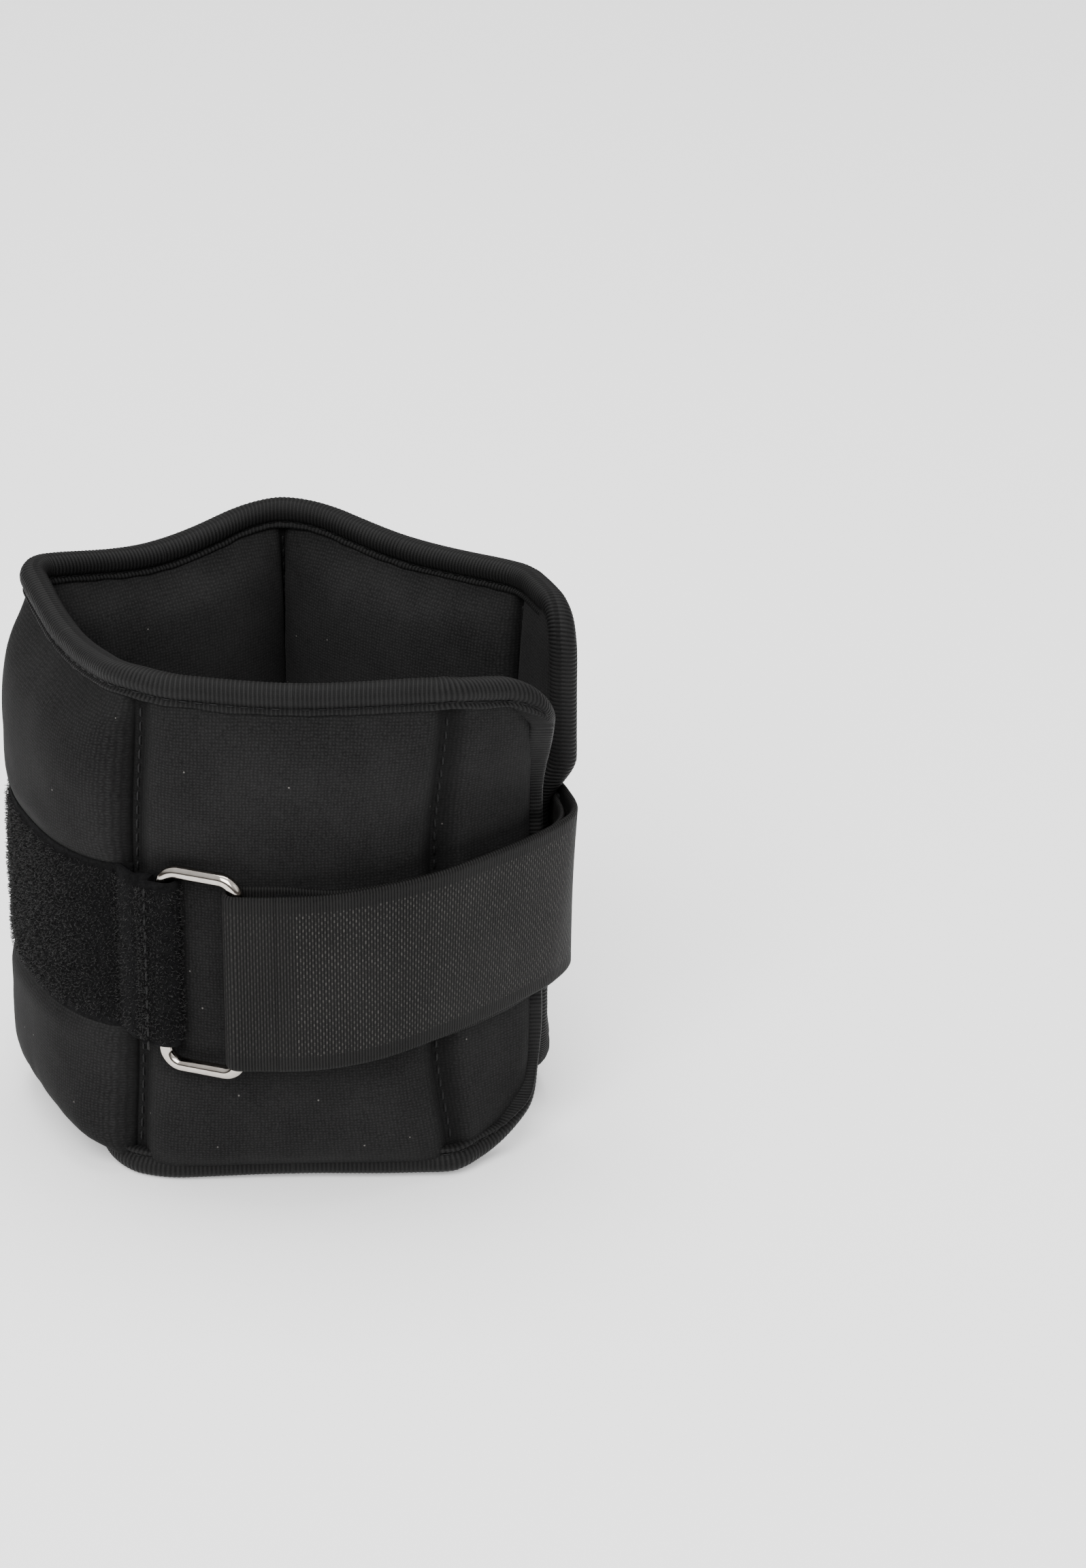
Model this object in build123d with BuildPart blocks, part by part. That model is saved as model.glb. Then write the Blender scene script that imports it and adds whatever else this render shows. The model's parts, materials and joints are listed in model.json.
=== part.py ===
"""Ankle cuff weight: four weighted pockets and two end flaps round an ankle, a ring and a strap.

The cuff stands on its lower edge and is closed.  Seen from above it is walked clockwise, from the
free end of the front flap round to the free end of the right flap.  Every panel has its own frame:
x along the walk from the panel's first seam, y outward from the ankle, z up.
"""

import math
import os

from build123d import *

os.makedirs("parts", exist_ok=True)

# ---- driving dimensions, millimetres and degrees ----
cuff_height = 118.0
pocket_widths = {"front": 63.5, "left": 62.5, "back_left": 65.0, "back_right": 68.0}
flap_widths = {"front_flap": 25.0, "right_flap": 24.0}
front_heading = 180.0
bends = {"front_flap": 42.0, "front": 66.6, "left": 77.0, "back_left": 76.0, "back_right": 36.4}
front_seam = Vector(31.06, -41.08, 0.0)

seam_gap = 1.6
seam_side = 1.6
outer_bulge = 8.5
inner_bulge = 9.5
fabric = 2.0
pouch_wall = 0.8
pouch_clearance = 0.25
room_end = 8.0
room_side = 6.5
room_edge = 0.15

binding_height = 8.0
binding_half = 3.5
binding_mitre = 3.6
binding_cover = 5.4
slot_clearance = 1.2
flap_half = 2.0
flap_binding_half = 3.2
flap_corner = 12.0
thread_radius = 0.6

strap_middle = 53.2
strap_width = 40.0
strap_thickness = 1.2
tape_thickness = 1.2
flap_tape_thickness = 0.7
tape_gap = 0.3

wire_radius = 1.5
ring_width = 17.0
ring_height = 44.4
ring_corner = 3.2
ring_heading = -21.8
ring_from_seam = Vector(5.7, -6.7, 0.0)
tab_reach = 1.0
tab_radius = 2.3
tab_root = 4.0
fold_radius = 2.5
straight_run = 8.0
tip_length = 18.0
hook_thickness = 0.8
patch_margin = 2.0
stitch_length = 2.6

slack = 0.01


# ---- plan of the cuff ----
def toward(heading):
    """Unit vector in plan for a heading, anticlockwise from +X."""
    return Vector(math.cos(math.radians(heading)), math.sin(math.radians(heading)), 0)


def outward(heading):
    """Unit vector away from the ankle for a panel walked along this heading."""
    return toward(heading + 90)


widths = {"front_flap": flap_widths["front_flap"], **pocket_widths, "right_flap": flap_widths["right_flap"]}
headings = {"front_flap": front_heading + bends["front_flap"], "front": front_heading}
for before, after in (("front", "left"), ("left", "back_left"), ("back_left", "back_right"),
                      ("back_right", "right_flap")):
    headings[after] = headings[before] - bends[before]

starts = {"front_flap": front_seam - toward(headings["front_flap"]) * widths["front_flap"]}
corner = front_seam
for panel in ("front", "left", "back_left", "back_right", "right_flap"):
    starts[panel] = corner
    corner = corner + toward(headings[panel]) * widths[panel]
ends = {panel: starts[panel] + toward(headings[panel]) * widths[panel] for panel in widths}


def plan_plane(panel, height):
    """Horizontal sketch plane in a panel's own frame."""
    return Plane(origin=starts[panel] + Vector(0, 0, height), x_dir=toward(headings[panel]), z_dir=(0, 0, 1))


def upright_plane(panel):
    """Vertical sketch plane through the middle of a panel: x along it, y up, and its back outward."""
    return Plane(origin=starts[panel], x_dir=toward(headings[panel]), z_dir=-outward(headings[panel]))


def finish(piece, name):
    """Label a finished piece and write it."""
    piece.part.label = name
    export_step(piece.part, f"parts/{name}.step")


# ---- weighted pockets ----
# A pocket is thin at its bindings and full at mid height: height as a share of the pocket, and fullness.
fullness = ((0.0, 0.2), (0.055, 0.2), (0.2, 0.8), (0.5, 1.0), (0.8, 0.8), (0.945, 0.2), (1.0, 0.2))
pocket_low = binding_height - binding_cover + slack
pocket_high = cuff_height - pocket_low


def stations(end_inset):
    """Heights and fullness of a pocket's cross sections, drawn in from both ends."""
    low = pocket_low + end_inset
    return [(low + share * (cuff_height - 2 * low), full) for share, full in fullness]


def half_lens(first, last, side_height, crown):
    """Closed outline: a straight chord, short sides and one arc, on the side of the crown's sign."""
    side = math.copysign(side_height, crown)
    with BuildLine(Plane.XY) as outline:
        Polyline((first, side), (first, 0), (last, 0), (last, side))
        ThreePointArc((last, side), ((first + last) / 2, crown), (first, side))
    return outline.edges()


def full_lens(width, inset, full):
    """Closed outline of both sides of a pocket's room, drawn in by the inset."""
    side = room_side + 3 * inset
    outer = max((outer_bulge - fabric) * full - inset, 0.3)
    inner = max((inner_bulge - fabric) * full - inset, 0.3)
    with BuildLine(Plane.XY) as outline:
        ThreePointArc((side, 0), (width / 2, outer), (width - side, 0))
        ThreePointArc((width - side, 0), (width / 2, -inner), (side, 0))
    return outline.edges()


def skin_half(panel, bulge):
    """One fabric side of a pocket: half a pillow with the room for the pouch taken out."""
    width = widths[panel]
    sign = math.copysign(1, bulge)
    with BuildPart() as skin:
        for height, full in stations(0):
            crown = max(abs(bulge) * full, seam_side + 0.2)
            with BuildSketch(plan_plane(panel, height)):
                make_face(half_lens(seam_gap, width - seam_gap, seam_side, sign * crown))
        loft()
        for height, full in stations(room_end):
            crown = max((abs(bulge) - fabric) * full, room_edge + 0.2)
            with BuildSketch(plan_plane(panel, height)):
                make_face(half_lens(room_side, width - room_side, room_edge, sign * crown))
        loft(mode=Mode.SUBTRACT)
    return skin


for panel in pocket_widths:
    width = widths[panel]
    cover = skin_half(panel, outer_bulge)
    finish(cover, f"{panel}_outer_cover")
    lining = skin_half(panel, -inner_bulge)
    finish(lining, f"{panel}_lining")

    with BuildPart() as pouch:
        for height, full in stations(room_end + 1):
            with BuildSketch(plan_plane(panel, height)):
                make_face(full_lens(width, pouch_clearance, full))
        loft()
        for height, full in stations(room_end + 3):
            with BuildSketch(plan_plane(panel, height)):
                make_face(full_lens(width, pouch_clearance + pouch_wall, full))
        loft(mode=Mode.SUBTRACT)
    finish(pouch, f"{panel}_weight_pouch")

    with BuildPart() as sand:
        for height, full in stations(room_end + 3):
            with BuildSketch(plan_plane(panel, height)):
                make_face(full_lens(width, pouch_clearance + pouch_wall, full))
        loft()
    finish(sand, f"{panel}_iron_sand")


# ---- end flaps: two fabric layers with no weight, rounded at the free end ----
def flap_layer(panel, side):
    """One fabric layer of a flap, lying on one side of its middle."""
    width = widths[panel]
    edge = binding_height - binding_cover
    centre_x = (edge + width - seam_gap) / 2 if panel == "front_flap" else (seam_gap + width - edge) / 2
    with BuildPart() as layer:
        with BuildSketch(upright_plane(panel)) as outline:
            with Locations((centre_x, cuff_height / 2)):
                Rectangle(width - edge - seam_gap, cuff_height - 2 * edge)
            free = outline.vertices().group_by(Axis.X)[0 if panel == "front_flap" else -1]
            fillet(free, flap_corner - edge)
        extrude(amount=-side * flap_half)
    return layer


def flap_binding(panel):
    """Binding folded over the top, free end and bottom of a flap."""
    width = widths[panel]
    run = width - binding_mitre
    centre_x = run / 2 if panel == "front_flap" else width - run / 2
    edge = binding_height - binding_cover - slack
    free_index = 0 if panel == "front_flap" else -1
    seam_sign = 1 if panel == "front_flap" else -1
    with BuildPart() as binding:
        with BuildSketch(upright_plane(panel)) as outer:
            with Locations((centre_x, cuff_height / 2)):
                Rectangle(run, cuff_height)
            fillet(outer.vertices().group_by(Axis.X)[free_index], flap_corner)
        extrude(amount=flap_binding_half, both=True)
        with BuildSketch(upright_plane(panel)) as window:
            with Locations((centre_x + seam_sign * binding_height, cuff_height / 2)):
                Rectangle(run, cuff_height - 2 * binding_height)
            fillet(window.vertices().group_by(Axis.X)[free_index], flap_corner - binding_height)
        extrude(amount=flap_binding_half + 1, both=True, mode=Mode.SUBTRACT)
        with BuildSketch(upright_plane(panel)) as slot:
            with Locations((centre_x + seam_sign * edge, cuff_height / 2)):
                Rectangle(run, cuff_height - 2 * edge)
            fillet(slot.vertices().group_by(Axis.X)[free_index], flap_corner - edge)
        extrude(amount=flap_half + slack, both=True, mode=Mode.SUBTRACT)
    return binding


for panel in flap_widths:
    outer_layer = flap_layer(panel, 1)
    finish(outer_layer, f"{panel}_outer_cover")
    inner_layer = flap_layer(panel, -1)
    finish(inner_layer, f"{panel}_lining")
    edging = flap_binding(panel)
    finish(edging, f"{panel}_binding")


# ---- binding along the top and the bottom of each pocket ----
def pocket_binding(panel, top):
    """A folded tape over a pocket's edge, mitred at both seams so that the corners can close."""
    width = widths[panel]
    low = cuff_height - binding_height if top else 0.0
    slot_low = low if top else binding_height - binding_cover - slack
    with BuildPart() as binding:
        with BuildSketch(plan_plane(panel, low)):
            with BuildLine():
                Polyline((seam_gap / 2, binding_half), (width - seam_gap / 2, binding_half),
                         (width - binding_mitre, -binding_half), (binding_mitre, -binding_half), close=True)
            make_face()
        extrude(amount=binding_height)
        rim = binding.edges().group_by(Axis.Z)[-1 if top else 0].sort_by(SortBy.LENGTH)[-2:]
        fillet(rim, 2.0)
        with BuildSketch(plan_plane(panel, slot_low)):
            with Locations((width / 2, 0)):
                Rectangle(width, 2 * seam_side + slot_clearance)
        extrude(amount=binding_cover + slack, mode=Mode.SUBTRACT)
    return binding


for panel in pocket_widths:
    finish(pocket_binding(panel, True), f"{panel}_top_binding")
    finish(pocket_binding(panel, False), f"{panel}_bottom_binding")


# ---- seam threads: each runs on the line that its two panels fold about ----
seams = {"front_flap_seam": starts["front"], "front_corner_seam": starts["left"],
         "left_corner_seam": starts["back_left"], "back_corner_seam": starts["back_right"],
         "right_flap_seam": starts["right_flap"]}
for name, place in seams.items():
    with BuildPart() as thread:
        with BuildSketch(Plane(origin=place + Vector(0, 0, pocket_low))):
            Circle(thread_radius)
        extrude(amount=pocket_high - pocket_low)
    finish(thread, name)


# ---- loop tape sewn round the outside at mid height ----
strap_low = strap_middle - strap_width / 2
for panel in ("left", "back_left", "back_right"):
    crown = outer_bulge + tape_thickness / 2 + tape_gap
    side = seam_side + tape_thickness / 2 + tape_gap
    with BuildPart() as tape:
        with BuildSketch(plan_plane(panel, strap_low)):
            with BuildLine():
                ThreePointArc((seam_gap, side), (widths[panel] / 2, crown), (widths[panel] - seam_gap, side))
            trace(line_width=tape_thickness)
        extrude(amount=strap_width)
    finish(tape, f"{panel}_loop_tape")

with BuildPart() as flap_tape:
    with BuildSketch(plan_plane("right_flap", strap_low)):
        with Locations((widths["right_flap"] / 2 - 4, flap_half + flap_tape_thickness / 2)):
            Rectangle(widths["right_flap"] - 12, flap_tape_thickness)
    extrude(amount=strap_width)
finish(flap_tape, "right_flap_loop_tape")


# ---- ring and its tab beside the front corner ----
ring_pivot = starts["left"] + ring_from_seam
ring_side = toward(ring_heading)
ring_out = toward(ring_heading - 90)
pull_bar = ring_pivot + ring_side * ring_width

with BuildPart() as ring:
    middle = ring_pivot + ring_side * (ring_width / 2) + Vector(0, 0, strap_middle)
    with BuildLine(Plane(origin=middle, x_dir=ring_side, z_dir=ring_out)) as loop:
        FilletPolyline((-ring_width / 2, -ring_height / 2), (ring_width / 2, -ring_height / 2),
                       (ring_width / 2, ring_height / 2), (-ring_width / 2, ring_height / 2),
                       radius=ring_corner, close=True)
    with BuildSketch(Plane(origin=ring_pivot + Vector(0, 0, strap_middle))):
        Circle(wire_radius)
    sweep(path=loop.wires()[0])
finish(ring, "ring")

with BuildPart() as tab:
    with BuildSketch(Plane.XY.offset(strap_low)):
        with BuildLine():
            near_start = ring_pivot - ring_side * tab_root - ring_out * tab_radius
            near_end = ring_pivot + ring_side * tab_reach - ring_out * tab_radius
            far_end = ring_pivot + ring_side * tab_reach + ring_out * tab_radius
            far_start = ring_pivot - ring_side * tab_root + ring_out * tab_radius
            nose = ring_pivot + ring_side * (tab_reach + tab_radius)
            Line(near_start, near_end)
            ThreePointArc(near_end, nose, far_end)
            Line(far_end, far_start)
        trace(line_width=tape_thickness)
    extrude(amount=strap_width)
finish(tab, "ring_tab")


# ---- strap: sewn to the right flap, round the flap ends, through the ring and back over itself ----
front_out = outward(headings["front"])
flap_out = outward(headings["front_flap"])
right_out = outward(headings["right_flap"])
along_front = toward(headings["front"])
under_offset = flap_binding_half + tape_gap + strap_thickness / 2
over_offset = under_offset + strap_thickness + hook_thickness + tape_gap
under_bar = pull_bar - front_out * fold_radius
over_bar = pull_bar + front_out * fold_radius
fold_nose = pull_bar + along_front * fold_radius


def wrap(first_edges, offset):
    """Carry a strap path on round the front seam and both flap ends, as arcs that run into each other."""
    edges = list(first_edges)
    passes = (ends["front_flap"] + flap_out * offset, starts["front_flap"] + flap_out * offset,
              ends["right_flap"] + right_out * offset)
    for place in passes:
        last = edges[-1]
        edges.append(TangentArc(last @ 1, place, tangent=last % 1))
    return edges


under_edges = wrap([Line(under_bar, under_bar - along_front * straight_run)], under_offset)
over_edges = wrap([Line(over_bar, over_bar - along_front * straight_run)], over_offset)
under_bend = under_edges[-1]
over_bend = over_edges[-1]
bend_axis = under_bend @ 0.5


def half_arc(edge, first, last):
    """The stretch of an arc between two of its places, each a share of its length."""
    return ThreePointArc(edge @ first, edge @ ((first + last) / 2), edge @ last)


def band(name, edges, thickness=strap_thickness, low=strap_low, width=strap_width):
    """Give a path its thickness and its width, and write it."""
    with BuildPart() as tape:
        with BuildSketch(Plane.XY.offset(low)):
            trace(edges, line_width=thickness)
        extrude(amount=width)
    finish(tape, name)


root_start = starts["right_flap"] + toward(headings["right_flap"]) * 3.0 + right_out * under_offset
band("strap_root", [half_arc(under_bend, 0.5, 1), Line(under_bend @ 1, root_start)])
band("strap_under_layer", [*under_edges[:-1], half_arc(under_bend, 0, 0.5)])
band("strap_fold", [ThreePointArc(under_bar, fold_nose, over_bar)])
band("strap_outer_layer", [*over_edges[:-1], half_arc(over_bend, 0, 0.5)])
tip_start = over_bend @ 1
tip_run = over_bend % 1
tip_end = tip_start + tip_run * tip_length
band("strap_tip", [half_arc(over_bend, 0.5, 1), Line(tip_start, tip_end)])
patch_in = Vector(-tip_run.Y, tip_run.X, 0) * ((strap_thickness + hook_thickness) / 2)
band("hook_patch", [Line(tip_start + patch_in, tip_end + patch_in)], hook_thickness,
     strap_low + patch_margin, strap_width - 2 * patch_margin)


# ---- stitches that hold the strap and the tab down ----
def stitch_rows(name, plane, rows, count, pitch):
    """Rows of short upright stitches standing on a tape's outer face."""
    with BuildPart() as stitches:
        with BuildSketch(plane):
            with Locations(*[(x, 0) for x in rows]):
                with GridLocations(1, pitch, 1, count):
                    Rectangle(0.5, stitch_length)
        extrude(amount=0.35)
    finish(stitches, name)


root_face = starts["right_flap"] + toward(headings["right_flap"]) * 6.0
root_face = root_face + right_out * (under_offset + strap_thickness / 2) + Vector(0, 0, strap_middle)
root_plane = Plane(origin=root_face, x_dir=-toward(headings["right_flap"]), z_dir=right_out)
stitch_rows("strap_stitching", root_plane, (-2.0, 1.5), 9, 4.0)

tab_face = ring_pivot + ring_out * (tab_radius + tape_thickness / 2) + Vector(0, 0, strap_middle)
tab_plane = Plane(origin=tab_face, x_dir=ring_side, z_dir=ring_out)
stitch_rows("tab_stitching", tab_plane, (-2.6,), 9, 4.0)

for name, place in {**seams, "ring pivot": ring_pivot, "pull bar": pull_bar, "strap bend": bend_axis}.items():
    print(f"{name}: {place.X:.3f} {place.Y:.3f}")
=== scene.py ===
"""Looks of the ankle cuff weight: soft pockets, ribbed binding, loop tape, webbing strap and nickel ring."""

import json
import math

import bmesh
import bpy
import numpy as np
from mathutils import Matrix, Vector, noise


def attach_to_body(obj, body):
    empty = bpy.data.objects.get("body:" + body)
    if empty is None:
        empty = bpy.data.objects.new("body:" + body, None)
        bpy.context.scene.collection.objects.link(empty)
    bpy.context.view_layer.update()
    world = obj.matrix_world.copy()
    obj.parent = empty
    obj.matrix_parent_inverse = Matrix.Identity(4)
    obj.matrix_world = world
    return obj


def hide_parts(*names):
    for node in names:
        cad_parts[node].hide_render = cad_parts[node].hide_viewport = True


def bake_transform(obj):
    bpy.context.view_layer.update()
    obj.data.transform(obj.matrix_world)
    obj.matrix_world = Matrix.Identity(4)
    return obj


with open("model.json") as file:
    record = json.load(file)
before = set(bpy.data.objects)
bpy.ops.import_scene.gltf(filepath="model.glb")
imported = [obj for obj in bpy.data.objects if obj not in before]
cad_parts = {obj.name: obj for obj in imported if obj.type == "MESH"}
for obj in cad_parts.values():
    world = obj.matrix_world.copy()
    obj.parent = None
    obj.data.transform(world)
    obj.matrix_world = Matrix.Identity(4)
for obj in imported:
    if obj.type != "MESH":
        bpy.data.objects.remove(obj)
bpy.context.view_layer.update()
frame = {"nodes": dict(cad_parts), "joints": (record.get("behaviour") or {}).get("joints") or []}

MM = 0.001
JOINTS = {joint["name"]: joint for joint in frame["joints"]}

# ---- sizes that the frame doesn't state, in millimetres and degrees ----
HEIGHT = 118.0
FRONT_HEADING = 180.0
FRONT_FLAP_TURN = 42.0
FRONT_FLAP_WIDTH = 25.0
RIGHT_FLAP_TURN = 36.4
RIGHT_FLAP_WIDTH = 24.0
OUTER_BULGE = {"front": 8.6, "left": 14.6, "back_left": 12.3, "back_right": 10.5}
INNER_BULGE = 9.3
OUTER_THINNING = 8.0
INNER_THINNING = {"front": 6.0, "left": 2.6, "back_left": 6.0, "back_right": 6.0}
TAPE_PRESS = {"left": 1.9, "back_left": 1.4, "back_right": 0.9}
TOP_CORNER = 11.5
BOTTOM_CORNER = 19.0
STRAP_MIDDLE = 53.2
STRAP_WIDTH = 40.0
STRAP_THICK = 1.2
TAPE_WIDTH = 37.8
TAPE_RISE = 1.3
WIRE_RADIUS = 1.5
RING_WIDTH = 17.0
RING_HEIGHT = 44.4
RING_CORNER = 3.8
RING_HEADING = -21.8
FOLD_RADIUS = 2.5
TAB_RADIUS = 2.3
TAB_REACH = 1.0
TAB_ROOT = 4.0
STRAIGHT_RUN = 8.0
RIB_PITCH = 0.92
BINDING_DEPTH = 6.2
STRAP_RIB_PITCH = 0.64
STRAP_PICK_PITCH = 1.5


# ---- plan of the cuff: each panel's own frame, x along it, y outward, z up ----
def toward(heading):
    """Unit vector in plan for a heading in degrees."""
    return np.array([math.cos(math.radians(heading)), math.sin(math.radians(heading))])


def left_of(direction):
    """The direction a quarter turn anticlockwise."""
    return np.array([-direction[1], direction[0]])


UP = np.array([0.0, 0.0, 1.0])


def level_direction(direction):
    """A plan direction as a direction in space."""
    return np.array([*direction, 0.0])


def joint_place(name):
    """A joint's axis in plan, in millimetres."""
    return np.array(JOINTS[name]["pos_m"][:2]) / MM


def heading_of(direction):
    """A plan direction's heading in degrees."""
    return math.degrees(math.atan2(direction[1], direction[0]))


SEAM_JOINTS = ("front_flap_fold", "front_fold", "left_fold", "cuff_open", "right_flap_fold")
corners = [joint_place(name) for name in SEAM_JOINTS]
front_flap_end = corners[0] - toward(FRONT_HEADING + FRONT_FLAP_TURN) * FRONT_FLAP_WIDTH
right_heading = heading_of(corners[4] - corners[3]) - RIGHT_FLAP_TURN
right_flap_end = corners[4] + toward(right_heading) * RIGHT_FLAP_WIDTH
corners = [front_flap_end, *corners, right_flap_end]
PANEL_NAMES = ("front_flap", "front", "left", "back_left", "back_right", "right_flap")
POCKETS = PANEL_NAMES[1:5]


# How the soft cuff leaves its straight planes: shifts in millimetres of each corner of the plan, to the
# right, away from the viewer and up, at the top edge, at the strap and at the bottom edge. The corners run
# clockwise from the front flap's end, seam by seam, to the right flap's end.
TOP_SHIFTS = ((3.2, -11.0, -4.6), (1.6, -3.4, -1.3), (0.8, -2.2, -0.5), (-0.4, 0.0, 0.4), (0.0, 1.6, 0.4),
              (1.2, 0.0, 0.4), (3.0, 1.0, 0.3))
STRAP_SHIFTS = ((2.2, 3.0, 0.0), (-1.8, 1.0, 0.0), (0.4, 0.0, 0.0), (0.0, 0.0, 0.0), (0.0, 0.0, 0.0),
                (0.0, 0.0, 0.0), (-2.2, 1.5, 0.0))
BOTTOM_SHIFTS = ((0.5, 4.0, 3.5), (1.8, 1.5, 0.8), (-2.4, 0.0, 0.0), (0.8, 0.0, 0.0), (0.0, 0.0, 0.0),
                 (-0.5, 1.0, 0.4), (-2.4, 6.0, 3.2))
TOP_START = 76.0
TOP_RUN = 40.0
BOTTOM_RUN = 32.0
RIGHT_FLAP_TOP_START = 71.0
RIGHT_FLAP_TOP_RUN = 12.0
# How far each panel's top edge bows outward between its seams.
TOP_BOW = {"front": 0.3, "left": 2.2, "back_left": 0.6, "back_right": 0.8, "right_flap": 0.6}
# How far a flap's free end curls inward, the turn it reaches there, and the length that curls.
CURLS = {"front_flap": (4.8, 53.0), "right_flap": (1.6, 24.0)}
CURL_LENGTH = 7.2
CURL_LOSS_AT_TOP = 0.6
# Rounding of the plan at each seam, at the edges and at the strap.
EDGE_RADII = (9.0, 16.0, 6.0, 21.0, 9.0)
MIDDLE_RADIUS = 3.0


def top_share(z):
    """1 at the top edge and 0 from just above the strap down."""
    return smooth_step((np.asarray(z, float) - TOP_START) / TOP_RUN)


def bottom_share(z):
    """1 at the bottom edge and 0 from just below the strap up."""
    return smooth_step((BOTTOM_RUN - np.asarray(z, float)) / BOTTOM_RUN)


def smooth_step(t):
    """Rise from 0 to 1, level at both ends."""
    t = np.clip(t, 0, 1)
    return t * t * (3 - 2 * t)


class Panel:
    """One stretch of the cuff between two corners of its plan."""

    def __init__(self, index, start, end):
        self.name = PANEL_NAMES[index]
        self.index = index
        self.start = start
        self.width = float(np.linalg.norm(end - start))
        self.along = (end - start) / self.width
        self.out = left_of(self.along)

    def end_rounds(self):
        """For each end that meets another panel: +1 or -1 for its end, half its bend, and its edge radius."""
        rounds = []
        if self.index > 0:
            rounds.append((-1, BENDS[self.index - 1] / 2, EDGE_RADII[self.index - 1]))
        if self.index < len(PANEL_NAMES) - 1:
            rounds.append((1, BENDS[self.index] / 2, EDGE_RADII[self.index]))
        return rounds

    def turning(self, x, z):
        """Shift in plan, along and outward, and turn of the outward direction, where corners are rounded."""
        share = np.maximum(top_share(z), bottom_share(z))
        along, outward, turn = np.zeros_like(x), np.zeros_like(x), np.zeros_like(x)
        for end, half_bend, edge_radius in self.end_rounds():
            radius = MIDDLE_RADIUS + (edge_radius - MIDDLE_RADIUS) * share
            setback = radius * math.tan(half_bend)
            distance = self.width - x if end > 0 else x
            angle = np.clip((setback - distance) / setback, 0, 1) * half_bend
            near = np.minimum(distance - setback, 0)
            along += end * (near + radius * np.sin(angle))
            outward += radius * (np.cos(angle) - 1)
            turn -= end * angle
        return along, outward, turn

    def sway(self, x, z):
        """Shift of the soft cuff off its straight plane, to the right, away and up."""
        share = np.clip(x / self.width, 0, 1)[..., None]
        levels = []
        for shifts in (TOP_SHIFTS, STRAP_SHIFTS, BOTTOM_SHIFTS):
            first, last = np.array(shifts[self.index]), np.array(shifts[self.index + 1])
            levels.append(first + (last - first) * share)
        top, bottom = top_share(z)[..., None], bottom_share(z)[..., None]
        if self.name == "right_flap":
            sharp = smooth_step((z[..., None] - RIGHT_FLAP_TOP_START) / RIGHT_FLAP_TOP_RUN)
            top = top + (np.maximum(sharp, top) - top) * share
        shift = levels[0] * top + levels[2] * bottom + levels[1] * (1 - top - bottom)
        bow = TOP_BOW.get(self.name, 0.0) * top[..., 0] * np.sin(math.pi * share[..., 0])
        curl = self.curl(x) * (1 - CURL_LOSS_AT_TOP * top[..., 0])
        shift[..., :2] += (bow - curl)[..., None] * self.out
        return shift

    def curl(self, x):
        """How far a flap's free end curls in toward the ankle."""
        if self.name not in CURLS:
            return 0 * x
        from_end = x if self.index == 0 else self.width - x
        return CURLS[self.name][0] * np.clip(1 - from_end / CURL_LENGTH, 0, 1) ** 2

    def place(self, x, y, z):
        """Points in millimetres in the panel's frame, as metres in the cuff's frame."""
        x, y, z = [np.array(v) for v in np.broadcast_arrays(*[np.asarray(v, float) for v in (x, y, z)])]
        along, outward, _ = self.turning(x, z)
        plan = self.start + (x + along)[..., None] * self.along + (y + outward)[..., None] * self.out
        return (np.concatenate([plan, z[..., None]], axis=-1) + self.sway(x, z)) * MM

    def edge_out(self, x, z):
        """The way outward at a place on the edge, turned where the corner is rounded."""
        turn = float(self.turning(np.array([float(x)]), np.array([float(z)]))[2][0])
        return self.out * math.cos(turn) + left_of(self.out) * math.sin(turn)


def bend_between(index):
    """Turn in radians between a panel and the next."""
    a = corners[index + 1] - corners[index]
    b = corners[index + 2] - corners[index + 1]
    return math.acos(float(np.clip(a @ b / (np.linalg.norm(a) * np.linalg.norm(b)), -1, 1)))


BENDS = [bend_between(i) for i in range(5)]
panels = {n: Panel(i, corners[i], corners[i + 1]) for i, n in enumerate(PANEL_NAMES)}


# ---- smooth noise, the same on every run ----
def waver(places, scale, seed=0.0):
    """Smooth noise from -1 to 1 at each place, with features about the scale's size in metres."""
    flat = np.asarray(places, float).reshape(-1, 3) / scale
    values = [noise.noise(Vector((p[0] + seed, p[1] - seed, p[2] + 0.37 * seed))) for p in flat]
    return np.array(values).reshape(np.asarray(places).shape[:-1])


# ---- meshes from grids ----
def add_to_scene(name, data):
    """An object for a mesh, light or camera."""
    made = bpy.data.objects.new(name, data)
    bpy.context.scene.collection.objects.link(made)
    return made


def mesh_object(name, verts, faces, cloth=None, material=None, sharp_caps=()):
    """A smooth-shaded mesh with the cloth's own coordinates, in millimetres, as an attribute."""
    mesh = bpy.data.meshes.new(name)
    mesh.from_pydata([tuple(v) for v in verts], [], [tuple(int(i) for i in f) for f in faces])
    mesh.validate()
    if cloth is not None:
        layer = mesh.attributes.new("cloth", "FLOAT_VECTOR", "POINT")
        layer.data.foreach_set("vector", np.asarray(cloth, np.float32).ravel())
    mesh.polygons.foreach_set("use_smooth", [True] * len(mesh.polygons))
    for index in sharp_caps:
        mesh.polygons[index].use_smooth = False
    if material:
        mesh.materials.append(material)
    return add_to_scene(name, mesh)


def grid_faces(rows, columns, offset=0, closed=False, flip=False):
    """Quads of a grid stored row after row; closed joins the last column to the first."""
    faces = []
    last = columns if closed else columns - 1
    for i in range(rows - 1):
        for j in range(last):
            k = (j + 1) % columns
            quad = (i * columns + j, i * columns + k, (i + 1) * columns + k, (i + 1) * columns + j)
            quad = tuple(offset + q for q in quad)
            faces.append(quad[::-1] if flip else quad)
    return faces


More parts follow.
